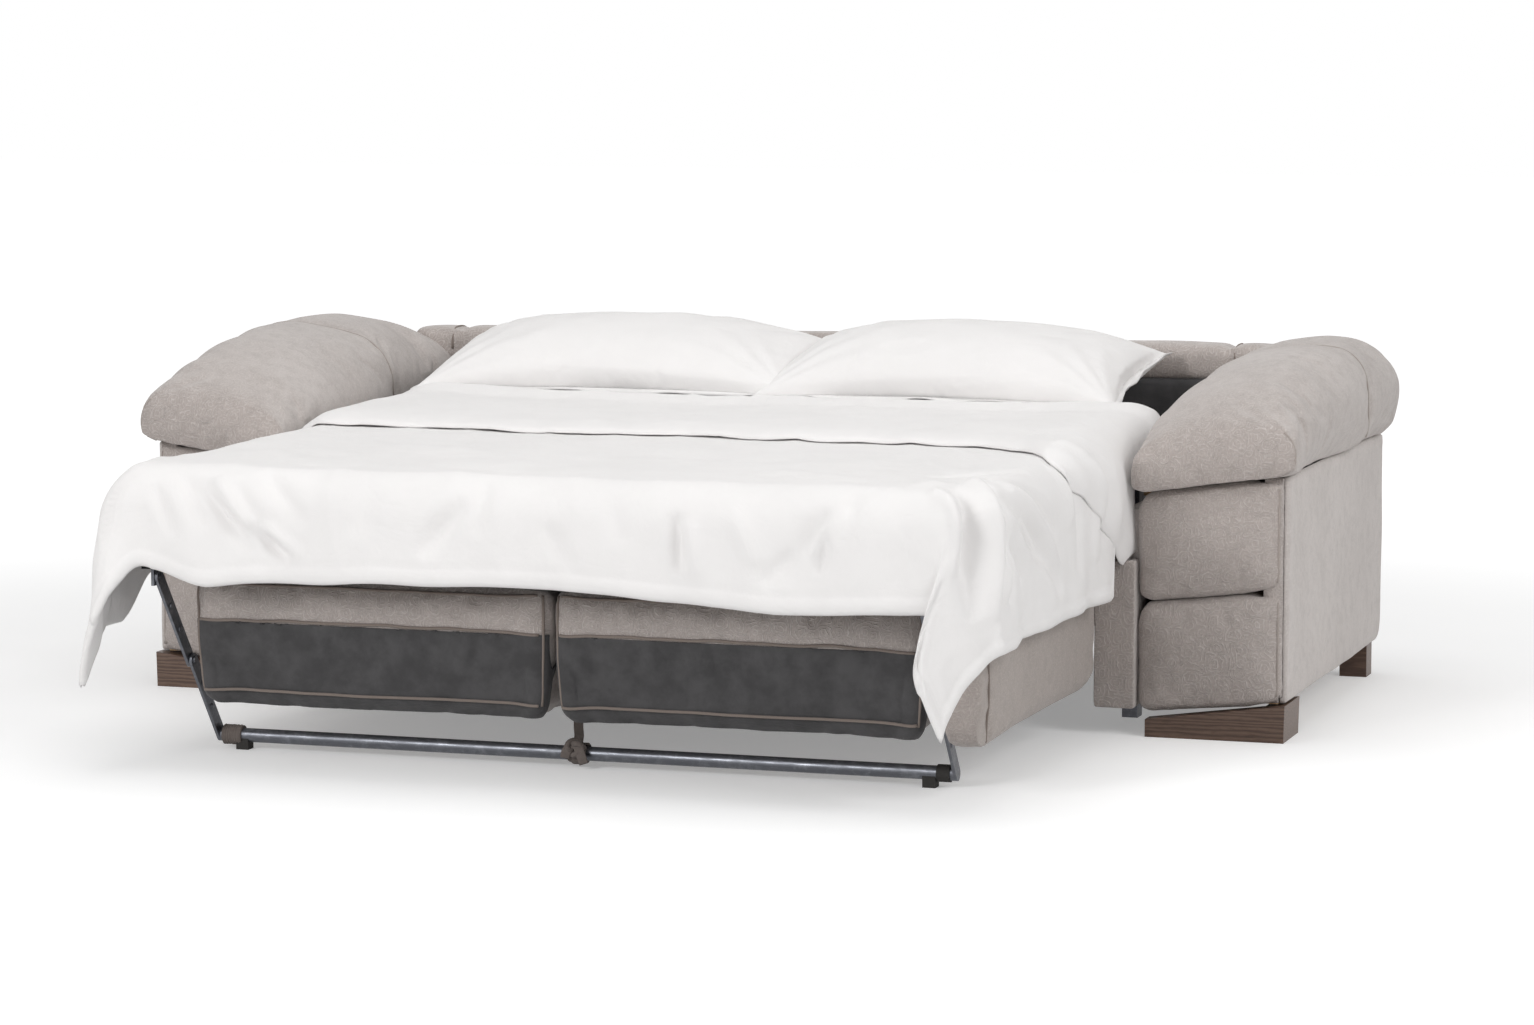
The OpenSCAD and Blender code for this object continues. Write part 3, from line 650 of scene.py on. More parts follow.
def arm_block(name, low, top, setback, side, seed):
    """Block of an arm, whose front reaches out over the edge of the side panel."""
    ends = [(0, 0.80), (2, 0.88), (6, 0.935), (12, 0.97), (20, 0.988)]
    stations = [(setback + y, s) for y, s in ends] + [(LIP_Y - 9, 0.995), (LIP_Y - 8, 0.995)]
    depth = ARM_D - 16 - setback
    stations += [(mix(50, depth - 40, k / 12), 1.0) for k in range(13)]
    stations += [(setback + depth - y, s) for y, s in reversed(ends)]
    rings = []
    for n, (y, s) in enumerate(stations):
        x_in, x_out = ARM_IN + 3, LIP_X - 2 if n < 6 else BOARD_X - 1
        c = [(x_in, slope(low, x_in) + 3), (x_out, slope(low, x_out) + 3),
             (x_out, slope(top, x_out) - 3), (x_in, slope(top, x_in) - 3)]
        ring = []
        for i in range(96):
            t = 2 * pi * (i + 0.5) / 96
            u, v = s * spow(cos(t), 0.15), s * spow(sin(t), 0.15)
            a = mix(Vector(c[0]), Vector(c[1]), (u + 1) / 2)
            b = mix(Vector(c[3]), Vector(c[2]), (u + 1) / 2)
            p = mix(a, b, (v + 1) / 2)
            ring.append(at(side * p[0], y + 8, p[1]))
        rings.append(ring)
    obj = loft(name, rings, M_FABRIC)
    front = y_at(setback + 17)
    lip = y_at(LIP_Y)

    def pins(p):
        return near(p.y, front, 0.006)

    def limit(p):
        x = clamp(abs(p.x), (ARM_IN - 6) / 1000, (LIP_X + 1 if p.y < lip else BOARD_X - 0.5) / 1000)
        z = clamp(p.z, seam_z(low, x) + 0.0005, seam_z(top, x) - 0.0005)
        return Vector((side * x, clamp(p.y, y_at(setback - 13), y_at(ARM_D - 9)), z))

    inflate(obj, 0.009, 0.016, 4.0, pins, 0.012, limit, 16)
    uneven(obj, 0.0018, 6.0, seed)
    loop = []
    for i in range(97):
        t = 2 * pi * i / 96
        x = mix(ARM_IN, LIP_X, (spow(cos(t), 0.25) + 1) / 2)
        z = mix(slope(low, x), slope(top, x), (spow(sin(t), 0.25) + 1) / 2)
        loop.append(at(side * x, setback + 10, z))
    pucker(obj, [loop], 0.04, 0.003, 34)
    hold(obj, limit)
    return obj


# Sections of an arm pillow: distance from the front, height, swell over the side and width
PILLOW_STATIONS = [
    (-22, 0.40, 0, 0.86), (-14, 0.47, 0, 0.96), (0, 0.53, 0.02, 1), (64, 0.63, 0.08, 1),
    (148, 0.77, 0.2, 1), (297, 0.91, 0.4, 1), (477, 0.99, 0.62, 1), (700, 1.01, 0.86, 1),
    (880, 0.97, 1, 1), (991, 0.85, 1, 0.98), (ARM_D - 22, 0.66, 0.9, 0.92), (ARM_D, 0.36, 0.7, 0.7)]


def arm_pillow_point(y, t):
    h_share, swell, inset = (along(PILLOW_STATIONS, y, c) for c in (1, 2, 3))
    h = (PILLOW_TOP - SEAM_TOP[1]) * h_share
    over = 30 + (PILLOW_OVER - 30) * swell
    x0 = ARM_IN - PILLOW_TIP * (1 - swell) + swell - 30 * step_up(y, 820, 990)
    x1 = ARM_OUT + over
    u = spow(cos(t), 0.55)
    x = (x0 + x1) / 2 + (x1 - x0) / 2 * inset * u
    low = SEAM_GAP / 2 + slope(SEAM_TOP, x)
    side = (1 - swell) * (1 if u < 0 else 0) * 0.2
    v = spow(sin(t), 0.6)
    if v < 0:
        v = spow(v, 0.45)
        return x, low + (1 + v) * h * 0.28
    return x, low + h * 0.28 + v * h * 0.72 * (1 + side * u)


def pillow_line(side, y, first, last, count=48):
    line = []
    for k in range(count + 1):
        x, z = arm_pillow_point(y, radians(mix(first, last, k / count)))
        line.append(at(side * x, y, z))
    return line


# Seam across the top of an arm pillow
CROSS_SEAM_Y = 620

# How far out the inner and the outer face of a side cover may lie, in metres
COVER_IN = 1.2312
COVER_OUT = 1.2535


def arm_pillow(name, side, seed):
    ys = [-22, -20, -16, -10, 0] + [20 * k for k in range(1, 52)] + [ARM_D - 18, ARM_D - 8, ARM_D - 2]
    rings = []
    for y in ys:
        ring = []
        for i in range(96):
            x, z = arm_pillow_point(y, 2 * pi * (i + 0.5) / 96)
            ring.append(at(side * x, y, z))
        centre = sum(ring, Vector()) / len(ring)
        rings.append([centre + (p - centre) * 0.975 for p in ring])
    obj = loft(name, rings, M_FABRIC)
    front, cross = y_at(-13), y_at(CROSS_SEAM_Y)

    def pins(p):
        return max(near(p.y, front, 0.006), near(p.y, cross, 0.005))

    def limit(p):
        x = abs(p.x)
        floor_z = seam_z(SEAM_TOP, min(x, ARM_OUT / 1000)) + 0.0006
        return Vector((side * x, p.y, max(p.z, floor_z)))

    inflate(obj, 0.009, 0.018, 4.0, pins, 0.008, limit, 16)
    uneven(obj, 0.003, 4.0, seed)
    pucker(obj, [pillow_line(side, CROSS_SEAM_Y, -10, 190)], 0.05, 0.004, 26)
    pucker(obj, [pillow_line(side, -14, 0, 360, 96)], 0.04, 0.003, 30)
    hold(obj, limit)
    return obj


for side, word in ((-1, "left"), (1, "right")):
    lower = arm_block(f"arm_lower_{word}", ARM_LOW, SEAM_LOW, 2, side, 3 + side)
    carry(lower, "sofa", [f"arm_block_lower_{word}"])
    middle_block = arm_block(f"arm_middle_{word}", SEAM_LOW, SEAM_TOP, 0, side, 9 + side)
    carry(middle_block, "sofa", [f"arm_block_middle_{word}"])
    pillow = arm_pillow(f"arm_top_{word}", side, 15 + side)
    carry(pillow, "sofa", [f"arm_pillow_{word}"])
    for block, low, top in ((lower, ARM_LOW, SEAM_LOW), (middle_block, SEAM_LOW, SEAM_TOP)):
        z0, z1 = slope(low, LIP_X) + 8, slope(top, LIP_X) - 8
        edge = line((side * LIP_X, -2, z0), (side * LIP_X, -2, z1), 20)
        seam("sofa", edge, tree_of(block), 0.0, fine_cords)
    on_pillow = tree_of(pillow)
    seam("sofa", pillow_line(side, -12, -52, 48), on_pillow, 0.0, fine_cords)
    seam("sofa", pillow_line(side, CROSS_SEAM_Y, -18, 176), on_pillow, 0.0006, fine_cords)
    low, high = ARM_LOW[1] + 1, SEAM_TOP[1] - 3
    outline = rounded([(LIP_Y + 0.5, low), (LIP_Y + 0.5, high), (ARM_D - 12, high), (ARM_D - 12, low)],
                      [4, 6, 6, 50])
    levels = [(1231.6, 0.5), (1240, 0), (1246, 1), (1249, 4), (1250.2, 10), (1250.6, 24)]
    # The side cover's lighter, fainter cloth is painted light.
    cover = panel(f"arm_side_{word}", outline, lambda y, z, x: at(side * x, y, z), levels, M_PLAIN_PAINTED_LIGHT)

    def cover_limit(p):
        return Vector((side * clamp(abs(p.x), COVER_IN, COVER_OUT), p.y, p.z))

    remesh(cover, 0.010)
    uneven(cover, 0.0022, 3.5, 21 + side)
    uneven(cover, 0.0010, 12.0, 23 + side)
    hold(cover, cover_limit)
    carry(cover, "sofa", [f"arm_side_cover_{word}"])
    low, high = ARM_LOW[1] + 2, SEAM_TOP[1] - 4
    outline = rounded([(1206.2, low), (1206.2, high), (1233, high), (1233, low)], [2] * 4, 2)
    for end, levels in (("front", [(33.8, 0), (33.8, 1), (31.4, 1), (31.0, 2)]),
                        ("back", [(1041, 0), (1041, 1), (1044, 1), (1045, 2)])):
        strip = panel(f"arm_{end}_return_{word}", outline, lambda x, z, y: at(side * x, y, z), levels,
                      M_FABRIC)
        carry(strip, "sofa")
    low, high = ARM_LOW[1] + 14, SEAM_TOP[1] - 3
    outline = rounded([(1200, low), (1200, high), (1240, high), (1240, low)], [2] * 4, 2)
    filler = panel(f"arm_front_filler_{word}", outline, lambda x, z, y: at(side * x, y, z),
                   [(31, 0), (31, 1), (23, 1), (22, 3)], M_FABRIC)
    carry(filler, "sofa")


# Back: roll, lining and rear cover

# Front face of the back, heights of its roll, half the roll's length and the place of its cross seams,
# front and seams of the rear cover, and the lower edge
BACK_Y = 954
ROLL = (655, 728)
ROLL_HALF = 1032
ROLL_SEAM = 932
REAR_Y = 1014.6
REAR_SEAM = 313
BACK_LOW = 80


def back_roll():
    half, h = ROLL_HALF, ROLL[1] - ROLL[0]
    xs = [(-half, 0.74), (-half + 3, 0.88), (-half + 10, 0.95), (-half + 24, 0.985)]
    xs += [(mix(-half + 34, half - 34, k / 60), 0.985) for k in range(61)]
    xs += [(-x, s) for x, s in reversed(xs[:4])]
    rings = []
    for x, s in xs:
        ring = []
        for i in range(48):
            t = -2 * pi * (i + 0.5) / 48
            under = t < -pi
            ring.append(at(x, BACK_Y - 2 + 52 * (1 + s * spow(cos(t), 0.6)),
                           ROLL[0] - 6 + (h + 6) / 2 * (1 + s * spow(sin(t), 0.4 if under else 0.3))))
        rings.append(ring)
    obj = loft("back_top_roll", rings, M_FABRIC)
    floor_z = ROLL[0] / 1000 - 0.006

    def pins(p):
        return near(abs(p.x), ROLL_SEAM / 1000, 0.006)

    def limit(p):
        return Vector((p.x, min(p.y, y_at(1057)), max(p.z, floor_z)))

    inflate(obj, 0.009, 0.008, 4.0, pins, 0.02, limit)
    uneven(obj, 0.003, 6.0, 31)
    hold(obj, limit)
    return obj


roll = back_roll()
carry(roll, "sofa", ["back_roll"])
on_roll = tree_of(roll)
for x in (-ROLL_SEAM, ROLL_SEAM):
    ring = [at(x, BACK_Y + 50 + 60 * cos(radians(a)), 692 + 50 * sin(radians(a)))
            for a in range(-20, 201, 8)]
    seam("sofa", ring, on_roll, 0.0)

outline = rounded([(-937, BACK_LOW + 11), (937, BACK_LOW + 11), (937, 653), (-937, 653)], [6] * 4)
levels = [(979.5, 1), (966, 0), (956, 3), (953, 12)]
inner = panel("back_inner_lining", outline, lambda x, z, y: at(x, y, z), levels, M_LINING)
remesh(inner, 0.014)
uneven(inner, 0.006, 3.5, 41)
for v in inner.data.vertices:
    v.co.y = clamp(v.co.y, y_at(949), y_at(979.8))
carry(inner, "sofa", ["back_lining"])

outline = rounded([(-938, BACK_LOW + 1), (938, BACK_LOW + 1), (938, 653.5), (-938, 653.5)], [8] * 4)
levels = [(REAR_Y + 0.6, 1), (REAR_Y + 12, 0), (REAR_Y + 18, 2), (REAR_Y + 22, 8), (REAR_Y + 23, 20)]
rear = panel("back_rear_panel", outline, lambda x, z, y: at(x, y, z), levels, M_FABRIC)


def rear_pins(p):
    return near(abs(p.x), REAR_SEAM / 1000, 0.007)


inflate(rear, 0.016, 0.010, 3.0, rear_pins, 0.02, None, 10)
uneven(rear, 0.003, 4.0, 51)
for v in rear.data.vertices:
    v.co.y = clamp(v.co.y, y_at(REAR_Y + 0.4), y_at(REAR_Y + 34))
carry(rear, "sofa", ["back_rear_cover"])
on_rear = tree_of(rear)
for x in (-REAR_SEAM, REAR_SEAM):
    seam("sofa", line((x, REAR_Y + 40, 90), (x, REAR_Y + 40, 645), 30), on_rear, 0.0)


# Seat blocks, flanks, linings, panels beside the bed, and mattresses

def cushion_rings(centre, w, d, h, up, down, pull, e_plan, e_side, m, n):
    """Rings of a cushion: crowned by up and down, drawn in by pull, squarer with smaller exponents."""
    rings = []
    edge = spow(sin(radians(84)), e_side)
    for j in range(n):
        a = radians(84 - 168 * j / (n - 1))
        s = cos(a) ** e_side
        height = h / 2 * spow(sin(a), e_side) / edge
        ring = []
        for i in range(m):
            t = 2 * pi * (i + 0.5) / m
            u, v = s * spow(cos(t), e_plan), s * spow(sin(t), e_plan)
            x = u * w / 2 * (1 - pull * (1 - v * v))
            y = v * d / 2 * (1 - pull * (1 - u * u))
            lift = (1 - min(1, abs(2 * x / w)) ** 2) * (1 - min(1, abs(2 * y / d)) ** 2)
            z = height + (up if a > 0 else down) * lift * sin(a)
            ring.append(at(centre[0] + x, centre[1] + y, centre[2] + z))
        rings.append(ring)
    return rings


def box_of(name):
    """A node's box in the millimetres of part.scad."""
    low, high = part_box(name)
    return Vector(low) * 1000 - Vector((0, SHIFT_Y, 0)), Vector(high) * 1000 - Vector((0, SHIFT_Y, 0))


def within(p, a, b, side, front, below):
    """A point kept in a box that is let out at its sides, at its front and below."""
    return Vector((clamp(p.x, a.x - side, b.x + side), clamp(p.y, a.y - front, b.y),
                   clamp(p.z, a.z - below, b.z)))


# Lower and upper edge of the band of upholstery on a seat block's front
BAND_LOW = 280
BAND_TOP = 372


def block_box(node):
    """Box of a seat block, with its inner side moved out to the seam between the blocks."""
    low, high = box_of(node)
    if low.x > 0:
        low.x = 3
    else:
        high.x = -3
    return low, high


def seat_block(name, node, seed):
    low, high = block_box(node)
    size, centre = high - low, (low + high) / 2
    rings = cushion_rings(centre, size.x - 2, size.y - 10, size.z - 4, 0, 4, 0.0, 0.07, 0.15, 128, 21)
    obj = loft(name, rings, M_FABRIC)
    a, b = at(*low), at(*high)

    def limit(p):
        return within(p, a, b, 0.001, 0.008, 0.004)

    def pins(p):
        return max(near(p.z, BAND_TOP / 1000, 0.006), near(p.z, BAND_LOW / 1000, 0.005))

    inflate(obj, 0.010, 0.016, 5.0, pins, 0.03, limit)
    uneven(obj, 0.004, 5.0, seed)
    front = low.y
    sides = [line((x, front, 130), (x, front, 366), 20) for x in (low.x + 4, high.x - 4)]
    pucker(obj, [line((low.x, front, 138), (high.x, front, 138), 40)], 0.07, 0.009, 15)
    pucker(obj, sides, 0.04, 0.005, 20)
    pucker(obj, [line((low.x, front - 4, BAND_LOW), (high.x, front - 4, BAND_LOW), 40)], 0.03, 0.002, 30)
    hold(obj, limit)
    return obj


def end_skin(name, block, low, high):
    """Lining that lies on the front and lower edge of a seat block."""
    bm = bmesh.new()
    bm.from_mesh(block.data)
    cuts = [((0, 0, BAND_LOW / 1000), (0, 0, 1)), ((0, y_at(low.y + 62), 0), (0, 1, 0)),
            ((low.x / 1000 + 0.004, 0, 0), (-1, 0, 0)), ((high.x / 1000 - 0.004, 0, 0), (1, 0, 0))]
    for place, way in cuts:
        bmesh.ops.bisect_plane(bm, geom=bm.verts[:] + bm.edges[:] + bm.faces[:], dist=1e-6,
                               plane_co=place, plane_no=way, clear_outer=True)
    bm.normal_update()
    for v in bm.verts:
        v.co += v.normal * (0.0022 + 0.0012 * noise.noise(v.co * 16))
    mesh = bpy.data.meshes.new(name)
    bm.to_mesh(mesh)
    bm.free()
    mesh.materials.clear()
    mesh.materials.append(M_LINING)
    mesh.polygons.foreach_set("use_smooth", [True] * len(mesh.polygons))
    obj = add(name, mesh)
    apply(obj, "SOLIDIFY", thickness=0.0018, offset=-1)
    return obj


for word, seed in (("left", 61), ("right", 67)):
    block = seat_block(f"seat_cushion_{word}", f"seat_block_{word}", seed)
    carry(block, "foot_section", [f"seat_block_{word}"])
    low, high = block_box(f"seat_block_{word}")
    skin = end_skin(f"seat_end_skin_{word}", block, low, high)
    carry(skin, "foot_section", [f"seat_end_lining_{word}"])
    on_block = tree_of(block)
    for z, lift in ((BAND_LOW + 1, 0.002), (368, 0.001), (134, 0.005)):
        across = line((low.x + 6, low.y - 12, z), (high.x - 6, low.y - 12, z), 60)
        seam("foot_section", across, on_block, lift)
    for x in (low.x - 3, high.x + 3):
        seam("foot_section", line((x, low.y - 4, 128), (x, low.y - 4, 370), 24), on_block, 0.001)

# Faces of a narrow panel beside the bed, in metres
PANEL_IN = 0.8548
PANEL_OUT = 0.9394

for side, word in ((-1, "left"), (1, "right")):
    low, high = box_of(f"seat_flank_{word}")
    high.y = 8
    size, centre = high - low, (low + high) / 2
    rings = cushion_rings(centre, size.x - 4, size.y - 4, size.z - 6, 0, 0, 0.0, 0.08, 0.3, 96, 19)
    # The flank's darker cloth is painted shade from the duvet above.
    flank = loft(f"seat_side_{word}", rings, M_SEAT_SIDE_PAINTED_SHADE)
    a, b = at(*low), at(*high)

    def flank_limit(p):
        return within(p, a, b, 0.004, 0.004, 0.004)

    stitch_y = low.y + 76

    def flank_pins(p):
        return near(p.y, y_at(stitch_y), 0.005)

    inflate(flank, 0.009, 0.010, 4.0, flank_pins, 0.02, flank_limit)
    uneven(flank, 0.003, 6.0, 71 + side)
    stitches = line((side * 870, stitch_y, 100), (side * 870, stitch_y, 372), 24)
    pucker(flank, [stitches], 0.06, 0.006, 26)
    hold(flank, flank_limit)
    carry(flank, "foot_section", [f"seat_flank_{word}"])
    seam("foot_section", stitches, tree_of(flank), -0.001)

    low, high = box_of(f"gap_panel_{word}")
    size, centre = high - low, (low + high) / 2
    strip = loft(f"bed_side_panel_{word}",
                 cushion_rings(centre - Vector((side * 9, 0, 0)), size.x + 18, size.y, size.z - 1, 0, 0, 0.0,
                               0.08, 0.08, 72, 21), M_FABRIC)
    uneven(strip, 0.0015, 12.0, 77 + side)
    for v in strip.data.vertices:
        v.co.x = side * clamp(abs(v.co.x), PANEL_IN, PANEL_OUT)
        v.co.y = min(v.co.y, y_at(46))
    carry(strip, "sofa", [f"gap_panel_{word}"])
    rail = bpy.data.objects[f"base_rail_{word}"]
    for holder in rail.material_slots:
        holder.material = M_PLAIN_PAINTED_LIGHT

for word, body, seed in (("head", "head_section", 81), ("foot", "foot_section", 83)):
    low, high = box_of(f"mattress_{word}")
    size, centre = high - low, (low + high) / 2
    pad = loft(f"mattress_top_{word}",
               cushion_rings(centre, size.x, size.y, size.z - 5, 5, 0, 0.004, 0.08, 0.22, 128, 21), M_SHEET)
    remesh(pad, 0.014)
    uneven(pad, 0.003, 7.0, seed)
    a, b = at(*low), at(*high)
    for v in pad.data.vertices:
        v.co = within(v.co, a, b, 0.003, 0, -0.0002)
    carry(pad, body, [f"mattress_{word}"])


# Bed pillows

def border_of(nu, nv):
    """Points round the edge of a grid, in order."""
    cols = nu + 1
    border = [j * cols for j in range(nv + 1)]
    border += [nv * cols + i for i in range(1, cols)]
    border += [j * cols + nu for j in reversed(range(nv))]
    return border + [i for i in reversed(range(1, nu))]


def two_sided(name, upper, lower, material):
    """Closed skin over an upper and a lower grid of points that meet at the edge."""
    rows, cols = len(upper), len(upper[0])
    verts = [p for row in upper for p in row] + [p for row in lower for p in row]
    half = rows * cols
    faces = []
    for j in range(rows - 1):
        for i in range(cols - 1):
            k = j * cols + i
            faces.append((k, k + 1, k + 1 + cols, k + cols))
            faces.append((half + k + cols, half + k + 1 + cols, half + k + 1, half + k))
    border = border_of(cols - 1, rows - 1)
    for a, b in zip(border, border[1:] + border[:1]):
        faces.append((b, a, half + a, half + b))
    obj = make_object(name, verts, faces, material)
    face_out(obj)
    return obj


# Lowest height of a bed pillow, in metres
PILLOW_FLOOR = 0.5635

# Section of a pillow's flange: how far out, as a share of the pillow's half size, and how high
FLANGE_SECTION = [(-0.012, 3.0), (0.020, 2.2), (0.052, 1.4), (0.052, -1.4), (0.020, -2.2), (-0.012, -3.0)]


def bed_pillow(name, node, w, l, t, over, turn, seed):
    """Sewn pillow with pointed corners, and a flat flange round its edge."""
    low, high = box_of(node)
    centre = (low + high) / 2 + Vector((over, -4 if over < 0 else 4, 4))
    tilt = radians(11)
    turn = radians(turn)
    nu, nv = 84, 48

    def place(u, v, z):
        x = u * w / 2 * (1 - 0.045 * (1 - v * v))
        y = v * l / 2 * (1 - 0.10 * (1 - u * u))
        y, z = (y * cos(tilt) - z * sin(tilt), y * sin(tilt) + z * cos(tilt))
        x, y = (x * cos(turn) - y * sin(turn), x * sin(turn) + y * cos(turn))
        return at(centre.x + x, centre.y + y, centre.z + z)

    def height(u, v):
        full = (max(0, 1 - abs(u) ** 2.8) ** 0.62) * (max(0, 1 - abs(v) ** 2.4) ** 0.6)
        crease = 0
        for cu in (-1, 1):
            for cv in (-1, 1):
                dx, dy = (u - cu) * w / 2, (v - cv) * l / 2
                d = hypot(dx, dy)
                ray = atan2(dy, dx)
                crease += exp(-d / 150) * step_up(d, 5, 60) * sin(ray * 17 + seed + cu * 2) * 7
        q = Vector((u * w / 2, v * l / 2, seed * 100)) / 1000
        crease += (0.5 - abs(noise.noise(q * 7))) * 6 * full
        return full, crease

    def skin(u, v, up):
        full, crease = height(u, v)
        if up:
            return place(u, v, 4 + t * 0.60 * full + crease * min(1, full * 1.6))
        return place(u, v, -4 - t * 0.38 * full)

    upper, lower = ([[skin(2 * i / nu - 1, 2 * j / nv - 1, up) for i in range(nu + 1)] for j in range(nv + 1)]
                    for up in (True, False))
    obj = two_sided(name, upper, lower, M_BEDDING)

    def limit(p):
        return Vector((p.x, p.y, max(p.z, PILLOW_FLOOR)))

    inflate(obj, 0.008, 0.010, 2.5, None, 0.05, limit, 14)
    rim, out = [], []
    steps = 60
    for a, b in (((-1, -1), (1, -1)), ((1, -1), (1, 1)), ((1, 1), (-1, 1)), ((-1, 1), (-1, -1))):
        for k in range(steps):
            rim.append((mix(a[0], b[0], k / steps), mix(a[1], b[1], k / steps)))
    verts, faces = [], []
    count = len(rim)
    for k, (u, v) in enumerate(rim):
        for grow, z in FLANGE_SECTION:
            wave = noise.noise(Vector((k * 0.16, seed, grow * 30))) * max(0, grow) * 190
            verts.append(limit(place(u * (1 + grow * 0.75), v * (1 + grow * 1.15), z + wave)))
    for k in range(count):
        n = (k + 1) % count
        for s in range(6):
            e = (s + 1) % 6
            faces.append((k * 6 + s, n * 6 + s, n * 6 + e, k * 6 + e))
    flange = make_object(name + "_flange", verts, faces, M_BEDDING)
    face_out(flange)
    return obj, flange


for word, w, over, turn, seed in (("left", 852, 32, 2, 2.0), ("right", 802, -34, -2, 5.0)):
    head_pillow, flange = bed_pillow(f"sleep_pillow_{word}", f"pillow_{word}", w, 425, 165, over, turn, seed)
    carry(head_pillow, "head_section", [f"pillow_{word}"])
    carry(flange, "head_section")
    for piece in (head_pillow, flange):
        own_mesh(piece)


# Duvet and its turned-back part

# The duvet, in millimetres: half width of its flat top and radius of its edge on the right and on the left,
# clear space below it, thickness, height, where it starts and where its front bends down, and how far it
# hangs on the right, on the left and between the arms
DUVET_HALF = 805
DUVET_BEND = 93
DUVET_HALF_LEFT = 765
DUVET_BEND_LEFT = 140
DUVET_LIFT = 14
DUVET_T = 26
DUVET_HIGH = 602
DUVET_START = 440
DUVET_LAY = -915
DUVET_SIDE = 356
DUVET_SIDE_LEFT = 275
DUVET_TUCK = 148

# Each fold: its line in millimetres across and along the flat cloth, half width and height
FOLDS = [
    ([(-752, -1021), (-708, -1103)], 16, -6), ([(-700, -991), (-640, -1086)], 20, -8),
    ([(-662, -1001), (-548, -1131)], 18, -10), ([(-630, -996), (-520, -1121)], 17, 7),
    ([(-546, -1091), (-476, -1151)], 15, -10), ([(-520, -1086), (-452, -1141)], 14, 7),
    ([(-530, -981), (-440, -1076)], 24, -7), ([(-586, -1011), (-530, -1091)], 18, -5),
    ([(-128, -1036), (-205, -1126)], 20, -8), ([(-80, -991), (-88, -1089)], 22, -5),
    ([(60, -1071), (110, -1141)], 20, -5), ([(306, -1041), (316, -1141)], 14, -9),
    ([(335, -1056), (345, -1146)], 18, 6), ([(592, -1026), (552, -1096)], 22, -9),
    ([(625, -1021), (575, -1101)], 20, 7), ([(601, -1066), (586, -1131)], 12, -9),
    ([(530, -1101), (480, -1156)], 18, -7), ([(648, -991), (610, -1066)], 26, -6),
    ([(430, -1041), (470, -1121)], 22, 5), ([(180, -1016), (200, -1091)], 26, -4),
    ([(-300, -1021), (-330, -1101)], 26, -4),
    ([(838, -930), (886, -966), (966, -991), (1076, -996)], 26, -15),
    ([(800, -960), (861, -996), (971, -1026)], 20, 8),
    ([(842, -860), (906, -925), (991, -935), (1101, -950)], 24, 13),
    ([(850, -800), (921, -830), (1001, -845), (1086, -865)], 22, -12),
    ([(720, -700), (800, -620), (851, -520)], 20, -6), ([(839, -700), (936, -560), (991, -470)], 20, -9),
    ([(861, -720), (951, -600), (996, -520)], 18, 6), ([(896, -770), (1011, -600), (1111, -455)], 20, -8),
    ([(886, -720), (996, -560), (1071, -440)], 17, 6), ([(981, -800), (1066, -700)], 18, -8),
    ([(991, -850), (1076, -900)], 22, 9), ([(800, -880), (845, -800)], 24, -8),
    ([(760, -900), (820, -860), (851, -790)], 26, 7), ([(861, -330), (981, -300), (1091, -330)], 26, -8),
    ([(851, -250), (981, -190), (1081, -200)], 24, 8), ([(881, -400), (991, -380)], 20, 6),
    ([(-851, -900), (-971, -930), (-1061, -960)], 24, -10), ([(-841, -820), (-981, -850)], 22, 9),
    ([(-861, -500), (-1031, -520)], 26, -8), ([(-851, -250), (-1021, -230)], 24, 7),
    ([(-420, -500), (-120, -640)], 60, 4), ([(100, -420), (420, -520)], 70, -4),
    ([(-640, -700), (-480, -860)], 50, 4), ([(420, -760), (640, -880)], 46, 5),
    ([(-200, -800), (60, -880)], 60, -4)]


def near_line(a, b, line):
    """Distance to a line in the cloth, and the share of its length at the nearest place."""
    best, where, done = 1e9, 0.0, 0.0
    total = sum(math.dist(p, q) for p, q in zip(line, line[1:]))
    for p, q in zip(line, line[1:]):
        length = math.dist(p, q)
        t = ((a - p[0]) * (q[0] - p[0]) + (b - p[1]) * (q[1] - p[1])) / length ** 2
        t = min(1, max(0, t))
        d = hypot(a - mix(p[0], q[0], t), b - mix(p[1], q[1], t))
        if d < best:
            best, where = d, (done + t * length) / total
        done += length
    return best, where


FOLD_BOXES = [(min(p[0] for p in line) - 3 * w, max(p[0] for p in line) + 3 * w,
               min(p[1] for p in line) - 3 * w, max(p[1] for p in line) + 3 * w) for line, w, _ in FOLDS]


def folds_at(a, b):
    """Height of the folds of the cloth, along its normal."""
    high = 0.0
    for (line, w, h), (a0, a1, b0, b1) in zip(FOLDS, FOLD_BOXES):
        if a0 < a < a1 and b0 < b < b1:
            d, t = near_line(a, b, line)
            fade = sin(pi * min(1, 0.12 + 0.88 * t) ** 0.8) ** 0.6 if t < 1 else 0.0
            high += 1.9 * h * fade * exp(-(d / (0.86 * w)) ** 2)
    q = Vector((a, b, 0)) / 1000
    ridge = 1 - 2 * abs(noise.noise(Vector((q.x * 4.2 + q.y * 1.5, q.y * 2.2, 4))))
    small = 1 - 2 * abs(noise.noise(Vector((q.x * 9 - q.y * 3, q.y * 7 + q.x * 2, 9))))
    where = 0.5 + 0.5 * noise.noise(q * 1.6 + Vector((0, 0, 6)))
    high += 5 * noise.noise(q * 2.6) + 5 * where * max(0, ridge) ** 3 + 2.4 * (1 - where) * max(0, small) ** 4
    return high


def side_length(a, b):
    """Length of the cloth that hangs beside the bed."""
    hang = DUVET_SIDE if a > 0 else mix(DUVET_SIDE_LEFT, DUVET_SIDE + 12, step_up(b, -735, -835))
    return mix(hang, DUVET_TUCK, step_up(b, -110, -20))


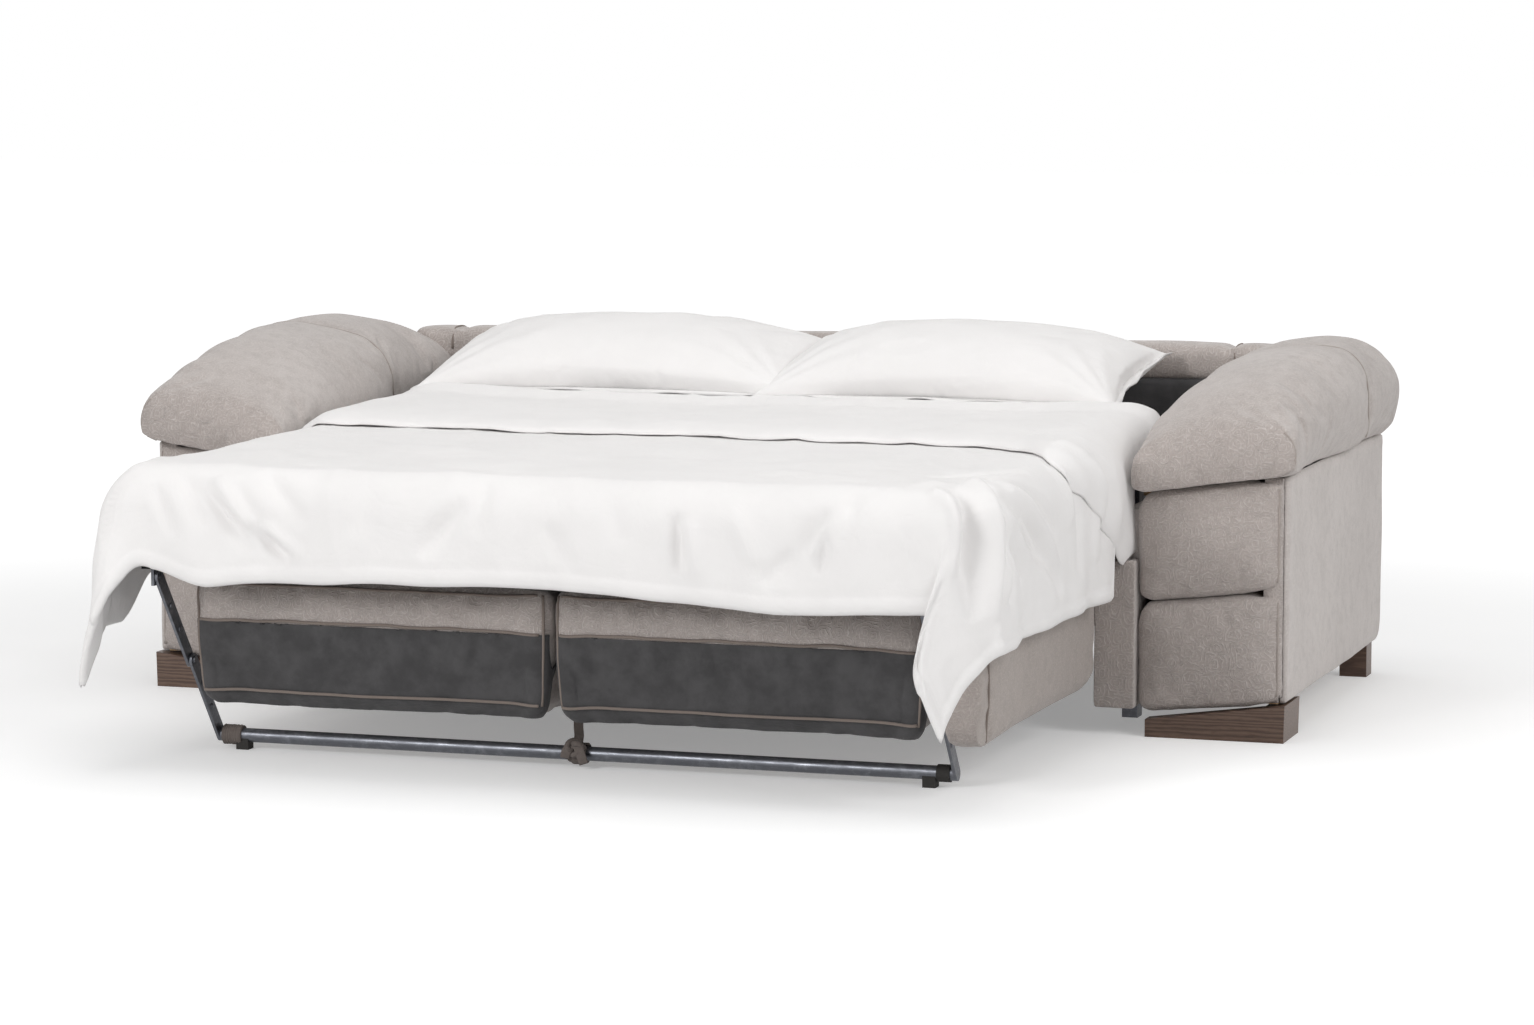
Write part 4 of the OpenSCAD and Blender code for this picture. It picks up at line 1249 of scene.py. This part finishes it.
def draped(a, b, lift, folds=1.0):
    """A point of the cover: a across and b along the flat cloth, lifted above the solid's surface."""
    lay = DUVET_LAY + folds * 14 * noise.noise(Vector((a / 190, 7, 0)))
    half = DUVET_HALF if a > 0 else DUVET_HALF_LEFT
    ea, eb = max(0, abs(a) - half), max(0, lay - b)
    r = hypot(ea, eb)
    f = atan2(eb, ea) if r > 0 else 0
    corner = sin(2 * f) ** 2 * step_up(r, 40, 330)
    flare = radians(3 + 6 * sin(2 * f) ** 2)
    r *= 1 + (0.16 if a > 0 else 0.10) * corner
    bend = lift + (DUVET_BEND if a > 0 else mix(DUVET_BEND, DUVET_BEND_LEFT, cos(f) ** 2))
    arc = (pi / 2 - flare) * bend
    turn = min(r, arc) / bend
    rest = max(0, r - arc)
    out = bend * sin(turn) + rest * sin(flare)
    down = bend * (1 - cos(turn)) + rest * cos(flare)
    edge = (a if f > pi / 4 else b) / 1000
    sway = noise.noise(Vector((edge * 5.2, 3.0 if f > pi / 4 else 8.0, 0))) * 22
    sway += noise.noise(Vector((edge * 13, 1.0, r / 260))) * 8
    between = step_up(b, -110, -10)
    out += folds * (sway * (1 - between) + 8 * between) * step_up(r, 30, 230)
    flat = cos(radians(90 * min(1, abs(a) / DUVET_HALF)))
    top = flat * (3 * (1 + sin(radians(a * 0.25 + 30)) * sin(radians(b * 0.32)))
                  - DUVET_LIFT - 0.7) * (1 - step_up(r, 0, 40))
    shoulder = 12 * step_up(abs(a), 560, DUVET_HALF) * (1 - step_up(r, 0, 60)) * (1 - between)
    x = copysign(min(abs(a), half) + out * cos(f), a)
    y = max(b, lay) - out * sin(f)
    x -= copysign(corner * (100 if a > 0 else 0), a)
    y -= corner * 42
    z = DUVET_HIGH + lift + top - down - folds * shoulder * 0.5
    push = folds * folds_at(a, b) * (1 - 0.75 * between * step_up(r, 0, 60))
    normal = Vector((copysign(cos(f) * sin(turn), a), -sin(f) * sin(turn),
                     max(0.05, cos(turn))))
    return at(*(Vector((x, y, z)) + normal.normalized() * push))


def quilt(name, grid, thickness, material):
    """Closed quilt between a grid of points and the same grid moved down by its thickness."""
    upper = [[grid(i, j, 0) for i in range(len(row))] for j, row in enumerate(thickness)]
    lower = [[grid(i, j, -t) for i, t in enumerate(row)] for j, row in enumerate(thickness)]
    return two_sided(name, upper, lower, material)


def hem_place(i, j, cols, rows, reach_a, reach_b):
    """Distance of a grid point from the hem, in millimetres."""
    across = min(i, cols - 1 - i) / (cols - 1) * reach_a
    down = min(j, rows - 1 - j) / (rows - 1) * reach_b
    return min(across, down)


def hem_height(d):
    """Stitched hem: a groove beside a slightly raised edge."""
    return -2.6 * exp(-((d - 26) / 5) ** 2) + 1.4 * exp(-((d - 13) / 8) ** 2)


# How far the cloth reaches past the line where it starts to hang, from left to right
HEM = [(-805, 238), (-700, 250), (-597, 272), (-244, 262), (60, 255), (300, 272), (475, 286), (687, 278),
       (805, 264)]


def duvet_piece():
    cols, rows = 301, 221

    def grid(i, j, lift):
        s = 2 * i / (cols - 1) - 1
        b = mix(DUVET_START, DUVET_LAY - along(HEM, s * 1.35 * DUVET_HALF, 1), j / (rows - 1))
        a = s * (DUVET_HALF + side_length(s, b))
        return draped(a, b, lift + hem_height(hem_place(i, j, cols, rows, 2360, 1620)) * (lift == 0))

    thickness = [[5 + (DUVET_T - 5) * sqrt(min(1, hem_place(i, j, cols, rows, 2360, 1620) / 90))
                  for i in range(cols)] for j in range(rows)]
    return quilt("bed_duvet", grid, thickness, M_BEDDING)


# Front and rear edge of the turned-back part, as points across and along the cloth
CUFF_FRONT = [(-896, -60), (-861, -90), (-760, -130), (-600, -140), (-350, -130), (-150, -80), (0, -60),
              (190, -110), (430, -125), (650, -160), (760, -220), (841, -330), (901, -345), (1004, -190),
              (1091, -40), (1116, 0)]
CUFF_BACK = [(-896, 470), (-861, 500), (861, 500), (893, 470), (921, 200), (951, 60), (1041, 50), (1116, 60)]


def cuff_piece():
    cols, rows = 261, 81

    def grid(i, j, lift):
        a = mix(-DUVET_HALF - 88, DUVET_HALF + 308, i / (cols - 1))
        front = along(CUFF_FRONT, a, 1) + 7 * noise.noise(Vector((a / 120, 0, 2)))
        back = along(CUFF_BACK, a, 1)
        b = mix(back, front, j / (rows - 1))
        rise = min(1, (b - front) / 60)
        swell = 9 * sin(pi * j / (rows - 1)) ** 0.5 * step_up(a, 1000, 820)
        ripple = 3 * noise.noise(Vector((a / 90, b / 150, 5)))
        rear = 14 * step_up(b, 380, 470) * step_up(a, 930, 860)
        return draped(a, b, 6 + lift + 13 * sqrt(max(0, rise)) + swell + ripple + rear)

    thickness = [[3 + 13 * sqrt(min(1, hem_place(i, j, cols, rows, 1900, 560) / 60)) for i in range(cols)]
                 for j in range(rows)]
    return quilt("bed_duvet_turned", grid, thickness, M_BEDDING)


for piece, node, fill in ((duvet_piece(), "duvet", 0.5), (cuff_piece(), "duvet_turned_back", 0.4)):
    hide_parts(node)
    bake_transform(piece)


# Fittings of the leg: fabric strap, sleeve and rivets

TUBE = Vector((0, -700, 28))


def by_tube(x, y, z):
    """A point given from the middle of the tube."""
    return at(x, TUBE.y + y, TUBE.z + z)


def round_tube(radius, start, end, x0, x1, count=20):
    turns = [radians(mix(start, end, k / count)) for k in range(count + 1)]
    return [by_tube(mix(x0, x1, k / count), radius * cos(a), radius * sin(a))
            for k, a in enumerate(turns)]


wraps = [round_tube(16.6, 100, 470, -12, -4), round_tube(17.8, 80, 450, 4, 12),
         round_tube(20.6, 60, 430, -9, 9)]
ends = [[(2, -16, 14), (4, -24, 22), (12, -31, 12), (17, -31, -4), (21, -28, -17)],
        [(-4, -15, 15), (-9, -26, 18), (-16, -30, 6), (-20, -27, -9)],
        [(0, -6, 18), (-1, 4, 34), (0, -2, 50), (1, -5, 66)]]
wraps += [[by_tube(*p) for p in end] for end in ends]
knot = [[by_tube(13 * cos(a) * (1 + 0.3 * cos(1.5 * a)), -20 - 9 * sin(1.5 * a),
                 14 + 11 * sin(a) * (1 + 0.3 * cos(1.5 * a)))
         for a in [4 * pi * k / 60 for k in range(61)]]]
tie = strap("leg_tie", [spaced(p, 0.004) for p in wraps], 0.019, 0.003, (1, 0.15, 0), M_STRAP)
carry(tie, "leg_frame", ["leg_strap_loop"])
tie_knot = tube("leg_tie_knot", knot, 0.0058, M_STRAP, 10)
carry(tie_knot, "leg_frame")

sleeve_rings = []
for k in range(25):
    x = mix(-757, -716, k / 24)
    bulge = 19.4 + 1.2 * sin(k * 1.9) + (-1.6 if k in (0, 24) else 0)
    ring = []
    for i in range(28):
        a = 2 * pi * i / 28
        r = bulge + 0.8 * noise.noise(Vector((k * 0.4, i * 0.5, 0)))
        ring.append(by_tube(x, r * cos(a), r * sin(a)))
    sleeve_rings.append(ring)
sleeve = loft("leg_fabric_sleeve", sleeve_rings, M_STRAP)
carry(sleeve, "leg_frame")


def domes(name, spots, radius, high, material):
    """Rivet heads that face along X at each spot."""
    verts, faces = [], []
    for spot, way in spots:
        base = len(verts)
        for j in range(5):
            a = pi / 2 * j / 5
            for i in range(16):
                t = 2 * pi * i / 16
                verts.append(Vector(spot) + Vector((way * high * sin(a), radius * cos(a) * cos(t),
                                                    radius * cos(a) * sin(t))))
        verts.append(Vector(spot) + Vector((way * high, 0, 0)))
        for i in range(16):
            n = (i + 1) % 16
            for j in range(4):
                a = base + j * 16
                faces.append((a + i, a + n, a + 16 + n, a + 16 + i))
            faces.append((base + 64 + i, base + 64 + n, base + 80))
        faces.append(tuple(base + i for i in reversed(range(16))))
    obj = make_object(name, verts, faces, material)
    face_out(obj)
    return obj


# Joints of the leg: where it hangs from the bed, and its knee
PIVOT = (-957, 375)
KNEE = (-823.1, 194.2)

# Each plate of the leg: its ends, the places of its rivets, its outer and inner face and its body
for word, a, b, shares, outer, inner, body in (
        ("upper", PIVOT, KNEE, (0.34, 0.62), 775.6, 769.4, "leg_link"),
        ("lower", KNEE, (TUBE.y, TUBE.z), (0.30, 0.62), 769.1, 762.9, "leg_frame")):
    spots = []
    for side in (-1, 1):
        for t in shares:
            y, z = mix(a[0], b[0], t), mix(a[1], b[1], t)
            spots += [(at(side * outer, y, z), side), (at(side * inner, y, z), -side)]
    carry(domes(f"leg_{word}_rivets", spots, 0.0062, 0.0028, M_STEEL), body)

for body, lines in cords.items():
    carry(tube(f"piping_{body}", lines, 0.0030, M_PIPING), body)
for body, lines in fine_cords.items():
    carry(tube(f"cords_{body}", lines, 0.0022, M_CORD), body)


# Camera, lights and floor

camera_data = bpy.data.cameras.new("camera")
camera_data.sensor_width = 36
camera_data.lens = 106.37
camera_data.clip_end = 100
camera = add("camera", camera_data)
camera.location = (3.0808, -8.8865 + SHIFT_Y / 1000, 1.4818)
camera.rotation_euler = (radians(90 - 6.4063), 0, radians(18.2191))
scene.camera = camera
LIGHT_AIM = Vector((0, 0, 0.4))
WHITE = (1, 1, 1, 1)


def area_light(name, place, size, power):
    data = bpy.data.lights.new(name, "AREA")
    data.shape = "SQUARE"
    data.size = size
    data.energy = power
    obj = add(name, data)
    obj.location = place
    obj.rotation_euler = (LIGHT_AIM - Vector(place)).to_track_quat("-Z", "Y").to_euler()


area_light("right_key", (6.4, -2.6, 4.2), 3.4, 165)
area_light("front_fill", (-2.6, -7.2, 3.4), 2.4, 225)
area_light("top", (0, 0.2, 5.4), 4.4, 82)

studio = Shader("studio", "World")
scene.world = studio.owner
ambient = studio.node("Background", None, Color=WHITE, Strength=0.42)
backdrop = studio.node("Background", None, Color=WHITE, Strength=1.0)
studio.by_ray(ambient.outputs[0], backdrop.outputs[0])

s = Shader("pale_floor")
place = s.place
paint = s.node("BsdfDiffuse", None, Color=s.blend(s.noise(place, 3.0, 3.0), (0.80, 0.80, 0.80, 1),
                                                  (0.84, 0.84, 0.84, 1)))
away = s.node("VectorMath", {"operation": "LENGTH"}, Vector=place).outputs["Value"]
glow = s.node("Emission", None, Color=WHITE, Strength=s.range(away, 1.6, 5.5, 0.28, 0.7))
both = s.node("AddShader")
s.put(both.inputs[0], paint.outputs[0])
s.put(both.inputs[1], glow.outputs[0])
s.by_ray(paint.outputs[0], both.outputs[0])
corners = [(-30, -30, 0), (30, -30, 0), (30, 30, 0), (-30, 30, 0)]
floor = make_object("floor", corners, [(0, 1, 2, 3)], s.owner, False)

scene.view_settings.view_transform = "Standard"
